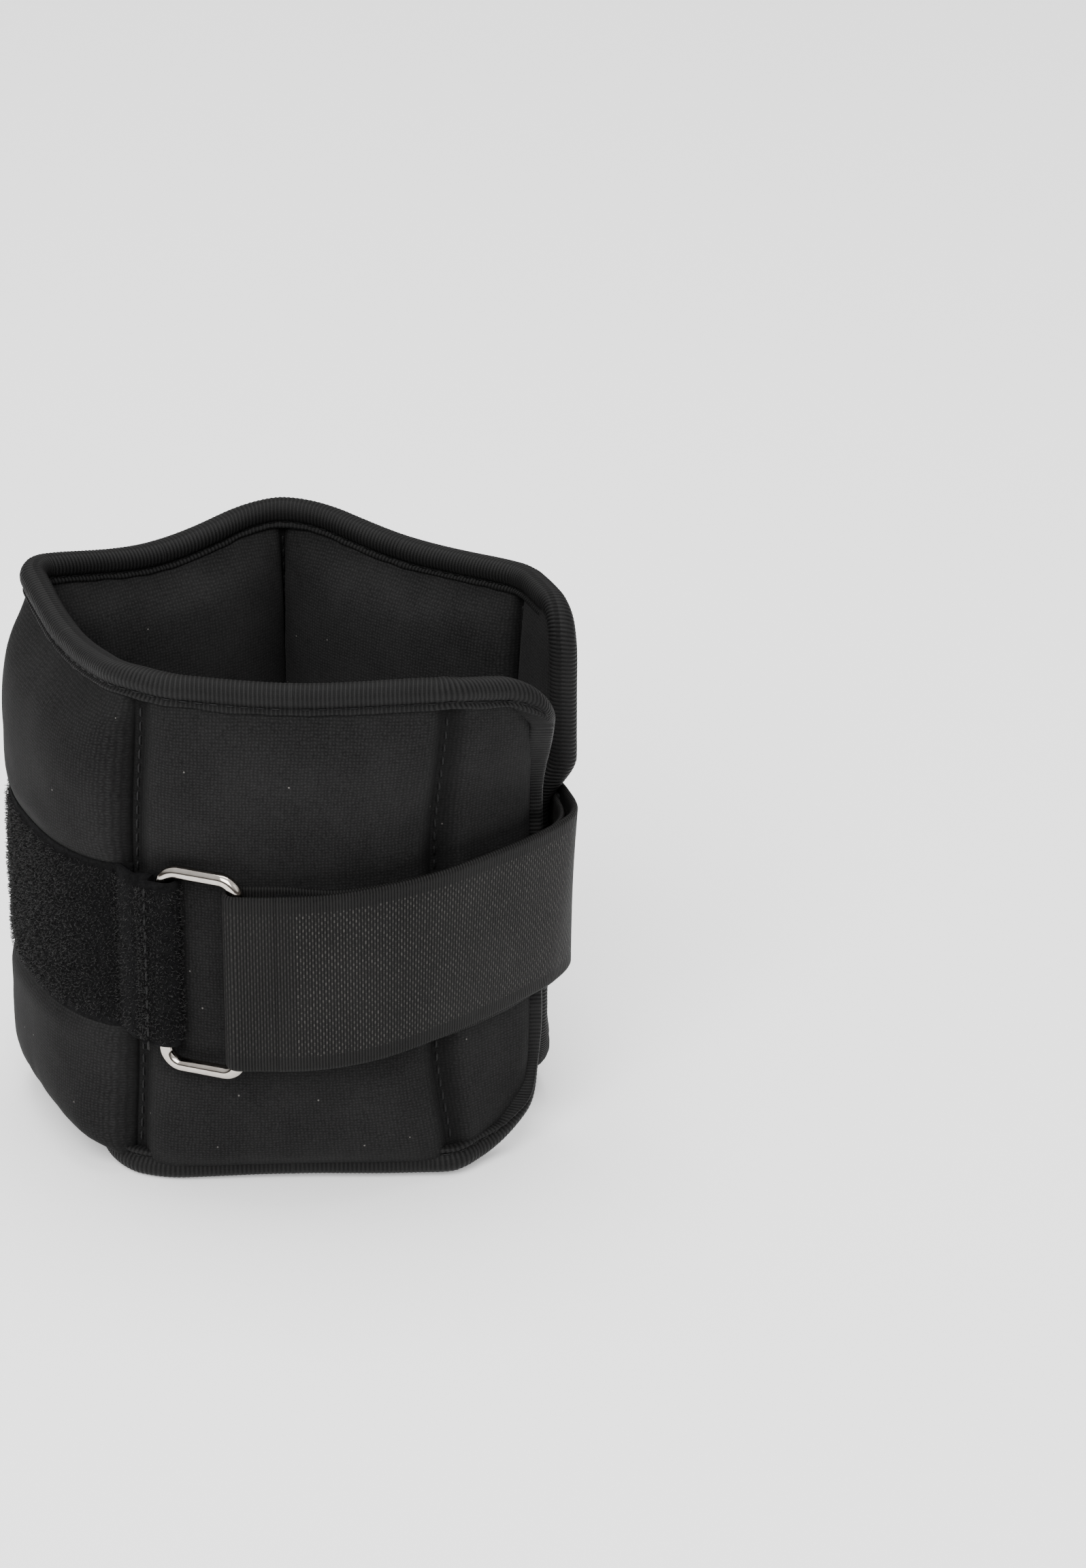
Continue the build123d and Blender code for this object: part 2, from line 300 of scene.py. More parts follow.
def tube_object(name, rings, cloth, material):
    """A closed skin through rings of points, with flat caps at both ends."""
    count, around = rings.shape[:2]
    faces = grid_faces(count, around, closed=True)
    body = rings.reshape(-1, 3)
    verts = np.concatenate([body, rings[0], rings[-1]])
    start, end = len(body), len(body) + around
    faces.append(tuple(range(start, start + around))[::-1])
    faces.append(tuple(range(end, end + around)))
    coords = np.concatenate([cloth.reshape(-1, 3), cloth[0], cloth[-1]])
    obj = mesh_object(name, verts, faces, coords, material, sharp_caps=(len(faces) - 2, len(faces) - 1))
    weld(obj)
    return obj


def weld(obj):
    """Make every face of a closed mesh look outward and join the caps to the sides."""
    work = bmesh.new()
    work.from_mesh(obj.data)
    bmesh.ops.remove_doubles(work, verts=work.verts, dist=1e-7)
    bmesh.ops.recalc_face_normals(work, faces=work.faces)
    for face in work.faces:
        if len(face.verts) > 4:
            for edge in face.edges:
                edge.smooth = False
    work.to_mesh(obj.data)
    work.free()


def grid_rim(rows, columns):
    """Numbers of a grid's rim points, once round."""
    rim = list(range(columns))
    rim += [i * columns + columns - 1 for i in range(1, rows)]
    rim += [(rows - 1) * columns + j for j in range(columns - 2, -1, -1)]
    rim += [i * columns for i in range(rows - 2, 0, -1)]
    return rim


def sheet_faces(rows, columns):
    """Faces of a closed sheet: its front grid, its back grid and the strip round its rim."""
    count = rows * columns
    faces = grid_faces(rows, columns) + grid_faces(rows, columns, count, flip=True)
    rim = grid_rim(rows, columns)
    for a, b in zip(rim, rim[1:] + rim[:1]):
        faces.append((b, a, a + count, b + count))
    return faces


def slab_object(name, front, back, cloth, material):
    """A closed sheet between two grids of the same size."""
    verts = np.concatenate([front.reshape(-1, 3), back.reshape(-1, 3)])
    coords = np.concatenate([cloth.reshape(-1, 3)] * 2)
    obj = mesh_object(name, verts, sheet_faces(*front.shape[:2]), coords, material)
    weld(obj)
    return obj


def refine(obj):
    """Apply one level of subdivision surface."""
    modifier = obj.modifiers.new("refine", "SUBSURF")
    modifier.levels = 1
    modifier.render_levels = 1
    graph = bpy.context.evaluated_depsgraph_get()
    mesh = bpy.data.meshes.new_from_object(obj.evaluated_get(graph), depsgraph=graph)
    obj.modifiers.clear()
    old = obj.data
    obj.data = mesh
    bpy.data.meshes.remove(old)


# ---- materials ----
SPECK_RADIUS = 0.085
COURSE_PITCH = 0.67
WALE_PITCH = 0.74
BINDING_THREAD_PITCH = 0.42
THREAD_TWIST_PITCH = 0.35
# Width at each edge of the strap, and length after its fold, where the light threads are missing or faint.
PLAIN_EDGE = 3.5
PLAIN_FOLD = 12.0


def fill_ramp(ramp, stops):
    """Give a colour ramp its stops, each a place and a colour."""
    while len(ramp.elements) < len(stops):
        ramp.elements.new(0.5)
    for element, (place, colour) in zip(ramp.elements, stops):
        element.position = place
        element.color = (*colour, 1.0)


def grey(value):
    """A colour with three equal parts."""
    return (value, value, value)


class Shader:
    """A Principled material that is built up node by node."""

    def __init__(self, name):
        self.material = bpy.data.materials.new(name)
        self.material.use_nodes = True
        self.tree = self.material.node_tree
        self.base = self.tree.nodes["Principled BSDF"]

    def node(self, kind, **values):
        made = self.tree.nodes.new("ShaderNode" + kind)
        for key, value in values.items():
            setattr(made, key, value)
        return made

    def wire(self, source, target):
        self.tree.links.new(source, target)

    def feed(self, socket, value):
        """Give a socket a number, a colour or another node's output."""
        if isinstance(value, (int, float)):
            socket.default_value = value
        elif isinstance(value, tuple):
            socket.default_value = (*value, 1.0)
        else:
            self.wire(value, socket)

    def math(self, operation, *values):
        made = self.node("Math", operation=operation)
        for socket, value in zip(made.inputs, values):
            self.feed(socket, value)
        return made.outputs[0]

    def weighted(self, first, first_weight, second, second_weight):
        """Weighted sum of two values."""
        return self.math("ADD", self.math("MULTIPLY", first, first_weight),
                         self.math("MULTIPLY", second, second_weight))

    def split(self, vector):
        """The three parts of a vector."""
        made = self.node("SeparateXYZ")
        self.wire(vector, made.inputs[0])
        return made.outputs[0], made.outputs[1], made.outputs[2]

    def cloth(self):
        """The cloth's own coordinates: along and across in millimetres, and its share of painted crease shade
        or its side.
        """
        return self.split(self.node("Attribute", attribute_name="cloth").outputs["Vector"])

    def place(self):
        """The place on the object in metres."""
        return self.node("TexCoord").outputs["Object"]

    def read(self, kind, output, **inputs):
        """One output of a new node whose inputs are fed by name."""
        made = self.node(kind)
        for key, value in inputs.items():
            self.feed(made.inputs[key], value)
        return made.outputs[output]

    def noise(self, scale, detail, roughness=0.5):
        """Smooth noise over the object, its scale per metre."""
        return self.read("TexNoise", "Fac", Vector=self.place(), Scale=scale, Detail=detail,
                         Roughness=roughness)

    def ramp(self, value, *stops):
        made = self.node("ValToRGB")
        fill_ramp(made.color_ramp, stops)
        self.wire(value, made.inputs[0])
        return made.outputs["Color"]

    def blend(self, amount, first, second):
        """Colour mix."""
        made = self.node("Mix", data_type="RGBA")
        for index, value in ((0, amount), (6, first), (7, second)):
            self.feed(made.inputs[index], value)
        return made.outputs[2]

    def bump(self, height, strength, distance, **before):
        """A normal from a height, over an earlier normal if Normal is given."""
        return self.read("Bump", "Normal", Strength=strength, Distance=distance, Height=height, **before)

    def set(self, **values):
        """Feed the Principled node's sockets by name, and return the material."""
        for key, value in values.items():
            self.feed(self.base.inputs[key.replace("_", " ")], value)
        return self.material

    def set_cloth(self, colour, normal, roughness, gloss, sheen, sheen_roughness, tint=(0.6, 0.6, 0.6)):
        """Finish a matt cloth with a faint sheen."""
        return self.set(Base_Color=colour, Roughness=roughness, Normal=normal, Specular_IOR_Level=gloss,
                        Sheen_Weight=sheen, Sheen_Roughness=sheen_roughness, Sheen_Tint=tint)


def sine(shader, value, pitch):
    """Sine of a cloth coordinate with a pitch in millimetres, from 0 to 1."""
    wave = shader.math("SINE", shader.math("MULTIPLY", value, 2 * math.pi / pitch))
    return shader.math("MULTIPLY_ADD", wave, 0.5, 0.5)


def lint(shader, scale, share):
    """Sparse tiny specks: 1 on a speck and 0 elsewhere."""
    cells = shader.node("TexVoronoi")
    shader.wire(shader.place(), cells.inputs["Vector"])
    cells.inputs["Scale"].default_value = scale
    near = shader.math("LESS_THAN", cells.outputs["Distance"], SPECK_RADIUS)
    chosen = shader.math("LESS_THAN", shader.split(cells.outputs["Color"])[0], share)
    return shader.math("MULTIPLY", near, chosen)


def neoprene_material(name, dark, light):
    """Knit face of neoprene: courses, wales, fuzz, soft mottling and a little lint, with painted shade in its
    creases.
    """
    s = Shader(name)
    along, up, crease_shade = s.cloth()
    drift = s.noise(700.0, 2.0)
    courses = sine(s, s.math("MULTIPLY_ADD", drift, 0.9, up), COURSE_PITCH)
    wales = sine(s, s.math("MULTIPLY_ADD", drift, 0.9, along), WALE_PITCH)
    knit = s.math("MULTIPLY", courses, wales)
    fuzz = s.noise(1900.0, 3.0)
    mottled = s.noise(45.0, 4.0, 0.6)
    shade = s.math("ADD", s.weighted(knit, 0.3, fuzz, 0.5), s.math("MULTIPLY_ADD", mottled, 0.5, -0.15))
    colour = s.ramp(shade, (0.15, dark), (0.95, light))
    colour = s.blend(lint(s, 420.0, 0.04), colour, (0.1, 0.095, 0.09))
    # Painted shade: the knit is darkened toward near black by its share of crease shade, at the seams and on
    # the seam webs.
    colour = s.blend(s.math("MULTIPLY", crease_shade, 0.6), colour, grey(0.001))
    relief = s.math("MULTIPLY_ADD", fuzz, 0.6, s.math("MULTIPLY", knit, 0.5))
    normal = s.bump(mottled, 0.12, 0.0012)
    normal = s.bump(relief, 0.55, 0.00012, Normal=normal)
    return s.set_cloth(colour, normal, roughness=0.85, gloss=0.07, sheen=0.018, sheen_roughness=0.5)


def binding_material():
    """Elastic tape: satin cross ribs."""
    s = Shader("binding_tape")
    along, across, _ = s.cloth()
    ribs = sine(s, along, RIB_PITCH)
    threads = sine(s, across, BINDING_THREAD_PITCH)
    fuzz = s.noise(3000.0, 2.0)
    broad = s.noise(70.0, 3.0)
    shade = s.math("ADD", s.weighted(ribs, 0.55, fuzz, 0.3), s.math("MULTIPLY_ADD", broad, 0.4, -0.15))
    colour = s.ramp(shade, (0.1, grey(0.0026)), (0.95, (0.0150, 0.0148, 0.0147)))
    relief = s.math("MULTIPLY_ADD", threads, 0.15, s.math("MULTIPLY_ADD", fuzz, 0.3, ribs))
    normal = s.bump(relief, 0.6, 0.00018)
    return s.set_cloth(colour, normal, roughness=0.58, gloss=0.09, sheen=0.01, sheen_roughness=0.4)


def strap_material():
    """Woven webbing: fine cross ribs and staggered light threads, plain at its edges, faint at its fold."""
    s = Shader("strap_webbing")
    along, across, _ = s.cloth()
    ribs = sine(s, along, STRAP_RIB_PITCH)
    column = s.math("FLOOR", s.math("DIVIDE", along, STRAP_RIB_PITCH))
    staggered = s.math("MULTIPLY_ADD", column, STRAP_PICK_PITCH / 2, across)
    wander = s.noise(350.0, 3.0)
    picks = sine(s, s.math("ADD", staggered, wander), STRAP_PICK_PITCH)
    patchy = s.math("MAXIMUM", s.math("MULTIPLY_ADD", s.noise(1800.0, 3.0), 3.0, -1.0), 0.0)
    dots = s.math("MULTIPLY", s.math("GREATER_THAN", ribs, 0.45), s.math("GREATER_THAN", picks, 0.6))
    inner = s.math("LESS_THAN", s.math("ABSOLUTE", across), STRAP_WIDTH / 2 - PLAIN_EDGE)
    after_fold = s.math("MULTIPLY_ADD", s.math("GREATER_THAN", along, PLAIN_FOLD), 0.6, 0.4)
    dots = s.math("MULTIPLY", dots, s.math("MULTIPLY", inner, after_fold))
    dots = s.math("MULTIPLY", dots, patchy)
    fuzz = s.noise(2600.0, 2.0)
    broad = s.noise(60.0, 3.0)
    shade = s.math("ADD", s.weighted(ribs, 0.6, fuzz, 0.4), s.math("MULTIPLY_ADD", broad, 0.35, -0.12))
    colour = s.ramp(shade, (0.1, grey(0.0008)), (0.95, (0.0162, 0.0159, 0.0155)))
    colour = s.blend(dots, colour, (0.054, 0.0515, 0.049))
    relief = s.math("MULTIPLY_ADD", dots, 0.4, s.math("MULTIPLY_ADD", fuzz, 0.35, ribs))
    normal = s.bump(relief, 0.8, 0.0002)
    return s.set_cloth(colour, normal, roughness=0.62, gloss=0.07, sheen=0.005, sheen_roughness=0.4)


def pile_material():
    """Ground of the loop pile: a matt black tangle."""
    s = Shader("loop_pile")
    tangle = s.noise(1300.0, 5.0, 0.75)
    clumps = s.noise(380.0, 3.0, 0.6)
    shade = s.weighted(tangle, 0.7, clumps, 0.3)
    colour = s.ramp(shade, (0.35, (0.001, 0.001, 0.0011)), (0.7, (0.009, 0.009, 0.0092)))
    normal = s.bump(shade, 1.0, 0.0007)
    return s.set_cloth(colour, normal, roughness=0.95, gloss=0.05, sheen=0.02, sheen_roughness=0.6,
                       tint=(0.4, 0.4, 0.42))


def thread_material():
    """Twisted polyester thread."""
    s = Shader("stitch_thread")
    along, across, _ = s.cloth()
    twist = sine(s, s.math("ADD", along, across), THREAD_TWIST_PITCH)
    colour = s.ramp(twist, (0.0, (0.0008, 0.0008, 0.0009)), (1.0, (0.0035, 0.0035, 0.0037)))
    normal = s.bump(twist, 0.5, 0.0001)
    return s.set(Base_Color=colour, Roughness=0.55, Normal=normal, Specular_IOR_Level=0.25)


def nickel_material():
    """Polished nickel with faint haze."""
    s = Shader("nickel")
    haze = s.noise(500.0, 4.0, 0.6)
    warm = s.ramp(haze, (0.3, (0.42, 0.385, 0.345)), (0.75, (0.52, 0.485, 0.445)))
    rough = s.math("MULTIPLY_ADD", haze, 0.1, 0.07)
    return s.set(Base_Color=warm, Metallic=1.0, Roughness=rough, Normal=s.bump(haze, 0.05, 0.0002))


def grainy_material(name, grain, dark, light, bump, **finish):
    """One noise for both colour and relief: its scale and detail, two colour stops, and a bump."""
    s = Shader(name)
    noise_value = s.noise(*grain)
    colour = s.ramp(noise_value, dark, light)
    return s.set(Base_Color=colour, Normal=s.bump(noise_value, *bump), **finish)


NEOPRENE = neoprene_material("neoprene_knit", grey(0.0031), (0.0224, 0.0222, 0.0222))
LINING = neoprene_material("lining_knit", grey(0.0036), (0.0255, 0.0252, 0.0252))
BINDING = binding_material()
STRAP = strap_material()
PILE = pile_material()
# The pile's curled black yarn, a little shiny.
PILE_YARN = grainy_material("pile_yarn", (900.0, 2.0), (0.3, grey(0.004)), (0.75, (0.030, 0.0295, 0.029)),
                            (0.3, 0.0001), Roughness=0.5, Specular_IOR_Level=0.3)
THREAD = thread_material()
NICKEL = nickel_material()
# Thin grey plastic film of the pouches, dark iron grit, and small stiff hooks.
FILM = grainy_material("pouch_film", (120.0, 5.0, 0.6), (0.3, (0.2, 0.21, 0.23)), (0.7, (0.4, 0.41, 0.44)),
                       (0.5, 0.0008), Roughness=0.35)
GRIT = grainy_material("iron_grit", (2200.0, 2.0), (0.3, (0.03, 0.028, 0.027)), (0.75, (0.26, 0.25, 0.24)),
                       (0.8, 0.0005), Metallic=0.6, Roughness=0.55)
HOOKS = grainy_material("hook_tape", (1500.0, 1.0), (0.4, grey(0.003)), (0.65, (0.024, 0.024, 0.025)),
                        (0.9, 0.0004), Roughness=0.45)


# ---- edge line of the cuff: peaks at the seams, dips between them ----
TOP_DIP = {"front": 1.8, "left": 2.6, "back_left": 4.6, "back_right": 2.8}
BOTTOM_RISE = {"front": 0.5, "left": 1.2, "back_left": 1.2, "back_right": 1.2}


def sag(x, width):
    """0 at both ends of a panel and 1 at its middle, level at each."""
    return (0.5 - 0.5 * np.cos(2 * math.pi * np.clip(np.asarray(x, float) / width, 0, 1))) ** 0.8


def top_edge(name, x):
    """Height of a panel's top edge at a place along it."""
    return HEIGHT - TOP_DIP.get(name, 0.0) * sag(x, panels[name].width)


def bottom_edge(name, x):
    """Height of a panel's bottom edge at a place along it."""
    return BOTTOM_RISE.get(name, 0.0) * sag(x, panels[name].width)


# ---- pockets: pillows puffed by cloth simulation ----
POCKET_COLUMNS = 29
POCKET_ROWS = 49
EDGE_HALF = 1.5
SIM_SCALE = 10.0
PUFF_FRAMES = 22
START_FULL = 0.85
SEAM_INSET = 0.9
EDGE_INSET = 2.2
SEAM_CROWDING = 0.09
EDGE_CROWDING = 0.07
FULL_ABOVE_BOTTOM = 3.0
BOTTOM_ROUNDING = 2.6
BINDING_GRIP = 5.4
HOLD_START = 5.5
HOLD_RUN = 9.0
PILLOW_SQUARENESS = 3.2
PILLOW_FULLNESS = 0.52
CREASE = 0.9
CREASE_WIDTH = 1.8
BLOWN_SHARE = 0.4
LUMP_DEPTH = 0.45
PUCKER_DEPTH = 0.35
GATHER_DEPTH = 0.3
# How far a pocket may stand out beside the tab, at the corner and for each millimetre away from it.
TAB_PRESS = (1.4, 0.42)
TAB_PRESS_LEAST = 1.6
TAB_PRESS_SOFT = 7.0
STRAP_MARGIN = 0.5
TAPE_PRESS_MARGIN = -2.0
TAPE_PRESS_SOFT = 4.0
TAPE_PRESS_RUN = 5.0
COVER_THICK = 1.9
INNER_GAP = 0.02
PUFF_SETTINGS = {"quality": 7, "mass": 0.3, "tension_stiffness": 12, "compression_stiffness": 12,
                 "shear_stiffness": 6, "bending_stiffness": 0.6, "use_pressure": True,
                 "uniform_pressure_force": 4.0, "shrink_min": -0.055, "vertex_group_mass": "held"}


def puff_shape(panel, x, z, thinning):
    """Height of a full pocket as a share: full over the bottom edge, thinning out below the top one."""
    u = np.clip((x - SEAM_INSET) / (panel.width - 2 * SEAM_INSET), 0, 1)
    across = np.clip(1 - np.abs(2 * u - 1) ** PILLOW_SQUARENESS, 0, 1) ** PILLOW_FULLNESS
    above = np.clip(z - bottom_edge(panel.name, x) - FULL_ABOVE_BOTTOM, 0, None)
    below = np.clip(top_edge(panel.name, x) - z - BINDING_GRIP, 0, None)
    return across * (1 - np.exp(-above / BOTTOM_ROUNDING)) * (1 - np.exp(-below / thinning))


def crowd(count, amount):
    """Shares from 0 to 1, closer together near both ends."""
    share = np.linspace(0, 1, count)
    return share - amount * np.sin(2 * math.pi * share) / math.pi


def pocket_grid(panel):
    """x and z of a pocket's grid, closer together near its edges."""
    u, v = np.meshgrid(crowd(POCKET_COLUMNS, SEAM_CROWDING), crowd(POCKET_ROWS, EDGE_CROWDING), indexing="ij")
    x = SEAM_INSET + u * (panel.width - 2 * SEAM_INSET)
    low = bottom_edge(panel.name, x) + EDGE_INSET
    high = top_edge(panel.name, x) - EDGE_INSET
    return x, low + v * (high - low)


def simulate_puff(x, z, start_out, start_in):
    """Blow up a slack pillow held at its rim, and return how far each side stands out."""
    rows, columns = x.shape
    count = rows * columns
    sides = [np.stack([x, y, z], axis=-1).reshape(-1, 3) for y in (start_out, -start_in)]
    pillow = mesh_object("puffing", np.concatenate(sides) * MM * SIM_SCALE, sheet_faces(rows, columns))
    rim = grid_rim(rows, columns)
    held = pillow.vertex_groups.new(name="held")
    held.add(rim + [r + count for r in rim], 1.0, "REPLACE")
    cloth = pillow.modifiers.new("puff", "CLOTH")
    for setting, value in PUFF_SETTINGS.items():
        setattr(cloth.settings, setting, value)
    cloth.settings.effector_weights.gravity = 0.0
    cloth.point_cache.frame_start = 1
    cloth.point_cache.frame_end = PUFF_FRAMES
    for step in range(1, PUFF_FRAMES + 1):
        bpy.context.scene.frame_set(step)
    graph = bpy.context.evaluated_depsgraph_get()
    blown = pillow.evaluated_get(graph).to_mesh()
    places = np.zeros(2 * count * 3)
    blown.vertices.foreach_get("co", places)
    places = places.reshape(2, rows, columns, 3) / (MM * SIM_SCALE)
    bpy.data.objects.remove(pillow)
    bpy.context.scene.frame_set(1)
    return places[0, ..., 1], places[1, ..., 1]


def make_cloths(panel, x, z, depths, thick, crease_shade, attach):
    """A panel's outer cover and its lining: closed sheets from their faces in toward the middle."""
    # The cloth's third coordinate is the share of painted crease shade for the neoprene.
    cloth = np.stack([x, z, crease_shade], axis=-1)
    looks = (("cover", 1, NEOPRENE, "neoprene", "outer_cover"), ("lining", -1, LINING, "lining", "lining"))
    for depth, (part, side, look, slot, node) in zip(depths, looks):
        back = np.maximum(depth - thick, INNER_GAP)
        piece = slab_object(f"{panel.name}_{part}_cloth", panel.place(x, side * depth, z),
                            panel.place(x, side * back, z), cloth, look)
        refine(piece)
        attach(piece)
        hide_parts(f"{panel.name}_{node}")


surfaces = {}


def make_pocket(name):
    """Outer cover and lining of a weighted pocket."""
    panel = panels[name]
    x, z = pocket_grid(panel)
    shape = puff_shape(panel, x, z, OUTER_THINNING)
    inner_shape = puff_shape(panel, x, z, INNER_THINNING[name])
    seed = 3.1 * POCKETS.index(name)
    bulge = OUTER_BULGE[name]
    outer, inner = simulate_puff(x, z, EDGE_HALF + START_FULL * bulge * shape,
                                 EDGE_HALF + START_FULL * INNER_BULGE * inner_shape)
    y_out = pocket_side(panel, outer, shape, bulge, seed, x, z)
    y_in = pocket_side(panel, -inner, inner_shape, INNER_BULGE, seed + 40, x, z)
    if name == "front":
        y_out = press_by_tab(panel, y_out, x, z)
    else:
        y_out = press_by_tape(y_out, z, TAPE_PRESS[name])
    surfaces[name] = (x, z, y_out)
    make_cloths(panel, x, z, (y_out, y_in), COVER_THICK, seam_crease_and_shade(panel, x),
                lambda piece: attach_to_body(piece, name))


def seam_crease_and_shade(panel, x):
    """1 at a pocket's seams, falling to 0 beside them: the depth share of the seam crease, and the share of
    painted shade there.
    """
    return 1 - smooth_step((np.minimum(x, panel.width - x) - SEAM_INSET) / CREASE_WIDTH)


def hold_share(panel, x, z):
    """0 where the binding grips the top of a pocket, rising to 1 below it."""
    return smooth_step((top_edge(panel.name, x) - z - HOLD_START) / HOLD_RUN)


def wrinkles(distance, centre, width, places, scale, seed):
    """Wrinkles in a band whose centre is at a distance from a seam or an edge."""
    return np.exp(-((distance - centre) / width) ** 2) * waver(places, scale, seed)


def pocket_side(panel, blown, shape, bulge, seed, x, z):
    """Join the simulated side with the full pillow shape, add puckers, and roll it down into the seams."""
    blown = np.clip(blown - EDGE_HALF, 0, None)
    blown = blown * ((bulge - EDGE_HALF) / np.percentile(blown, 97))
    full = (bulge - EDGE_HALF) * shape
    side = EDGE_HALF + BLOWN_SHARE * blown * hold_share(panel, x, z) + (1 - BLOWN_SHARE) * full
    places = panel.place(x, 0 * x, z)
    side = side + LUMP_DEPTH * waver(places, 0.03, seed) * shape
    pucker = wrinkles(np.minimum(x, panel.width - x), 3.0, 3.5, places * (0.3, 0.3, 1.0), 0.0045, seed + 9)
    gather = wrinkles(np.minimum(z, HEIGHT - z), 12.0, 5.0, places * (1.0, 1.0, 0.35), 0.006, seed + 5)
    detail = (PUCKER_DEPTH * pucker + GATHER_DEPTH * gather) * hold_share(panel, x, z)
    side = np.minimum(np.maximum(side + detail, EDGE_HALF), bulge + 0.7)
    return side - CREASE * seam_crease_and_shade(panel, x)


def strap_band(z, margin, soft):
    """1 at the strap's height, falling to 0 past its edges."""
    return 1 - smooth_step((np.abs(z - STRAP_MIDDLE) - (STRAP_WIDTH / 2 + margin)) / soft)


def press_by_tab(panel, y, x, z):
    """The tab and ring press the pocket flat beside the front corner."""
    limit = TAB_PRESS[0] + TAB_PRESS[1] * np.clip(panel.width - x, 0, None)
    pressed = np.minimum(y, np.maximum(limit, TAB_PRESS_LEAST))
    return y + (pressed - y) * strap_band(z, STRAP_MARGIN, TAB_PRESS_SOFT)


def press_by_tape(y, z, depth):
    """The sewn loop tape holds the pocket in a little."""
    share = strap_band(z - TAPE_RISE, TAPE_PRESS_MARGIN, TAPE_PRESS_SOFT)
    return y - depth * share * np.clip((y - EDGE_HALF) / TAPE_PRESS_RUN, 0, 1)


for pocket in POCKETS:
    make_pocket(pocket)


# ---- end flaps: flat foam with a rounded free end ----
FLAP_INSET = 2.0
FLAP_SEAM_TAPER = 4.0
FLAP_PRESS = 0.8
FLAP_PRESS_SOFT = 4.0
FLAP_SEEDS = {"front_flap": 60, "right_flap": 75}


def flap_outline(panel, x_share, z_share):
    """Map a unit square on to a flap, its free corners rounded."""
    z = FLAP_INSET + z_share * (HEIGHT - 2 * FLAP_INSET)
    cut = np.zeros_like(z)
    for distance, corner in ((z - FLAP_INSET, BOTTOM_CORNER), (HEIGHT - FLAP_INSET - z, TOP_CORNER)):
        radius = corner - FLAP_INSET
        inside = np.clip(radius - distance, 0, radius)
        cut = np.maximum(cut, radius - np.sqrt(np.clip(radius ** 2 - inside ** 2, 0, None)))
    reach = SEAM_INSET + x_share * (panel.width - FLAP_INSET - SEAM_INSET - cut)
    return panel.width - reach if panel.name == "front_flap" else reach, z


def blend_flap(piece):
    """Bake a flap piece's transform into its mesh."""
    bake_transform(piece)


def make_flap(name):
    """Outer cover and lining of a flap."""
    panel = panels[name]
    u = np.linspace(0, 1, 17)
    v = 0.5 - 0.5 * np.cos(np.linspace(0, math.pi, 61))
    u, v = np.meshgrid(u, v, indexing="ij")
    if name == "front_flap":
        u, v = u[::-1], v[::-1]
    x, z = flap_outline(panel, u, v)
    rounded = np.clip(1 - u ** 8, 0, 1) * np.clip(1 - np.abs(2 * v - 1) ** 14, 0, 1)
    at_seam = smooth_step(u * panel.width / FLAP_SEAM_TAPER)
    places = panel.place(x, 0 * x, z)
    body = 0.6 + (0.5 + 1.75 * rounded) * at_seam
    y_out, y_in = [body + 0.25 * waver(places, 0.02, FLAP_SEEDS[name] + more) * rounded for more in (0, 7)]
    if name == "right_flap":
        y_out = y_out - FLAP_PRESS * strap_band(z, STRAP_MARGIN, FLAP_PRESS_SOFT) * at_seam
    # Painted crease shade at the flap's seam, gone past the seam taper.
    make_cloths(panel, x, z, (y_out, y_in), HEIGHT, 1 - at_seam,
                lambda piece: blend_flap(piece))


for flap in ("front_flap", "right_flap"):
    make_flap(flap)


# ---- stitches ----
STITCH_LENGTH = 2.3
STITCH_GAP = 0.9
STITCH_RADIUS = 0.26
BINDING_STITCH_RADIUS = 0.24
STITCH_HUMP = 0.06
STITCH_DIVE = 0.3
STITCH_TAPER = 0.45


def stitch_mesh(name, spots, radius=STITCH_RADIUS):
    """Short thread humps, each from its middle, its direction and the way it stands out, in millimetres."""
    verts, faces, cloth = [], [], []
    around, steps = 8, 7
    for middle, direction, out in spots:
        side = np.cross(direction, out)
        base = len(verts)
        for i in range(steps):
            t = i / (steps - 1) * 2 - 1
            lift = STITCH_HUMP * (1 - t ** 4) - STITCH_DIVE * t ** 6
            thick = radius * (1 - STITCH_TAPER * t ** 6)
            centre = middle + direction * (t * STITCH_LENGTH / 2) + out * lift
            for k in range(around):
                angle = 2 * math.pi * k / around
                verts.append((centre + (out * math.cos(angle) + side * math.sin(angle)) * thick) * MM)
                cloth.append((t * STITCH_LENGTH / 2, k * 0.2, 0))
        faces += grid_faces(steps, around, base, closed=True)
        faces.append(tuple(base + k for k in range(around))[::-1])
        faces.append(tuple(base + (steps - 1) * around + k for k in range(around)))
    obj = mesh_object(name, np.array(verts), faces, np.array(cloth), THREAD)
    weld(obj)
    return obj


# ---- binding: a ribbed tape rolled over the whole edge ----
# Half profile of the tape, outward and down from its crown: roll, stitch groove and thin selvage.
HALF_PROFILE = ((0.0, 0.0), (1.1, -0.1), (2.0, -0.5), (2.65, -1.3), (2.95, -2.3), (2.85, -3.4), (2.4, -4.15),
                (1.8, -4.5), (1.75, -4.9), (2.3, -5.2), (2.5, -5.6), (2.35, -6.0), (1.9, -6.2), (1.0, -6.2))
PROFILE = np.array([*HALF_PROFILE, *((-out, up) for out, up in reversed(HALF_PROFILE[1:]))])
RING_STEP = RIB_PITCH / 4
BINDING_SEED = 11.0
BINDING_REACH = 8.0
GROOVE_OUT = 1.8
GROOVE_DEPTH = 4.7


def run_along(points):
    """Length of a path up to each of its points."""
    return np.concatenate([[0], np.cumsum(np.linalg.norm(np.diff(points, axis=0), axis=1))])


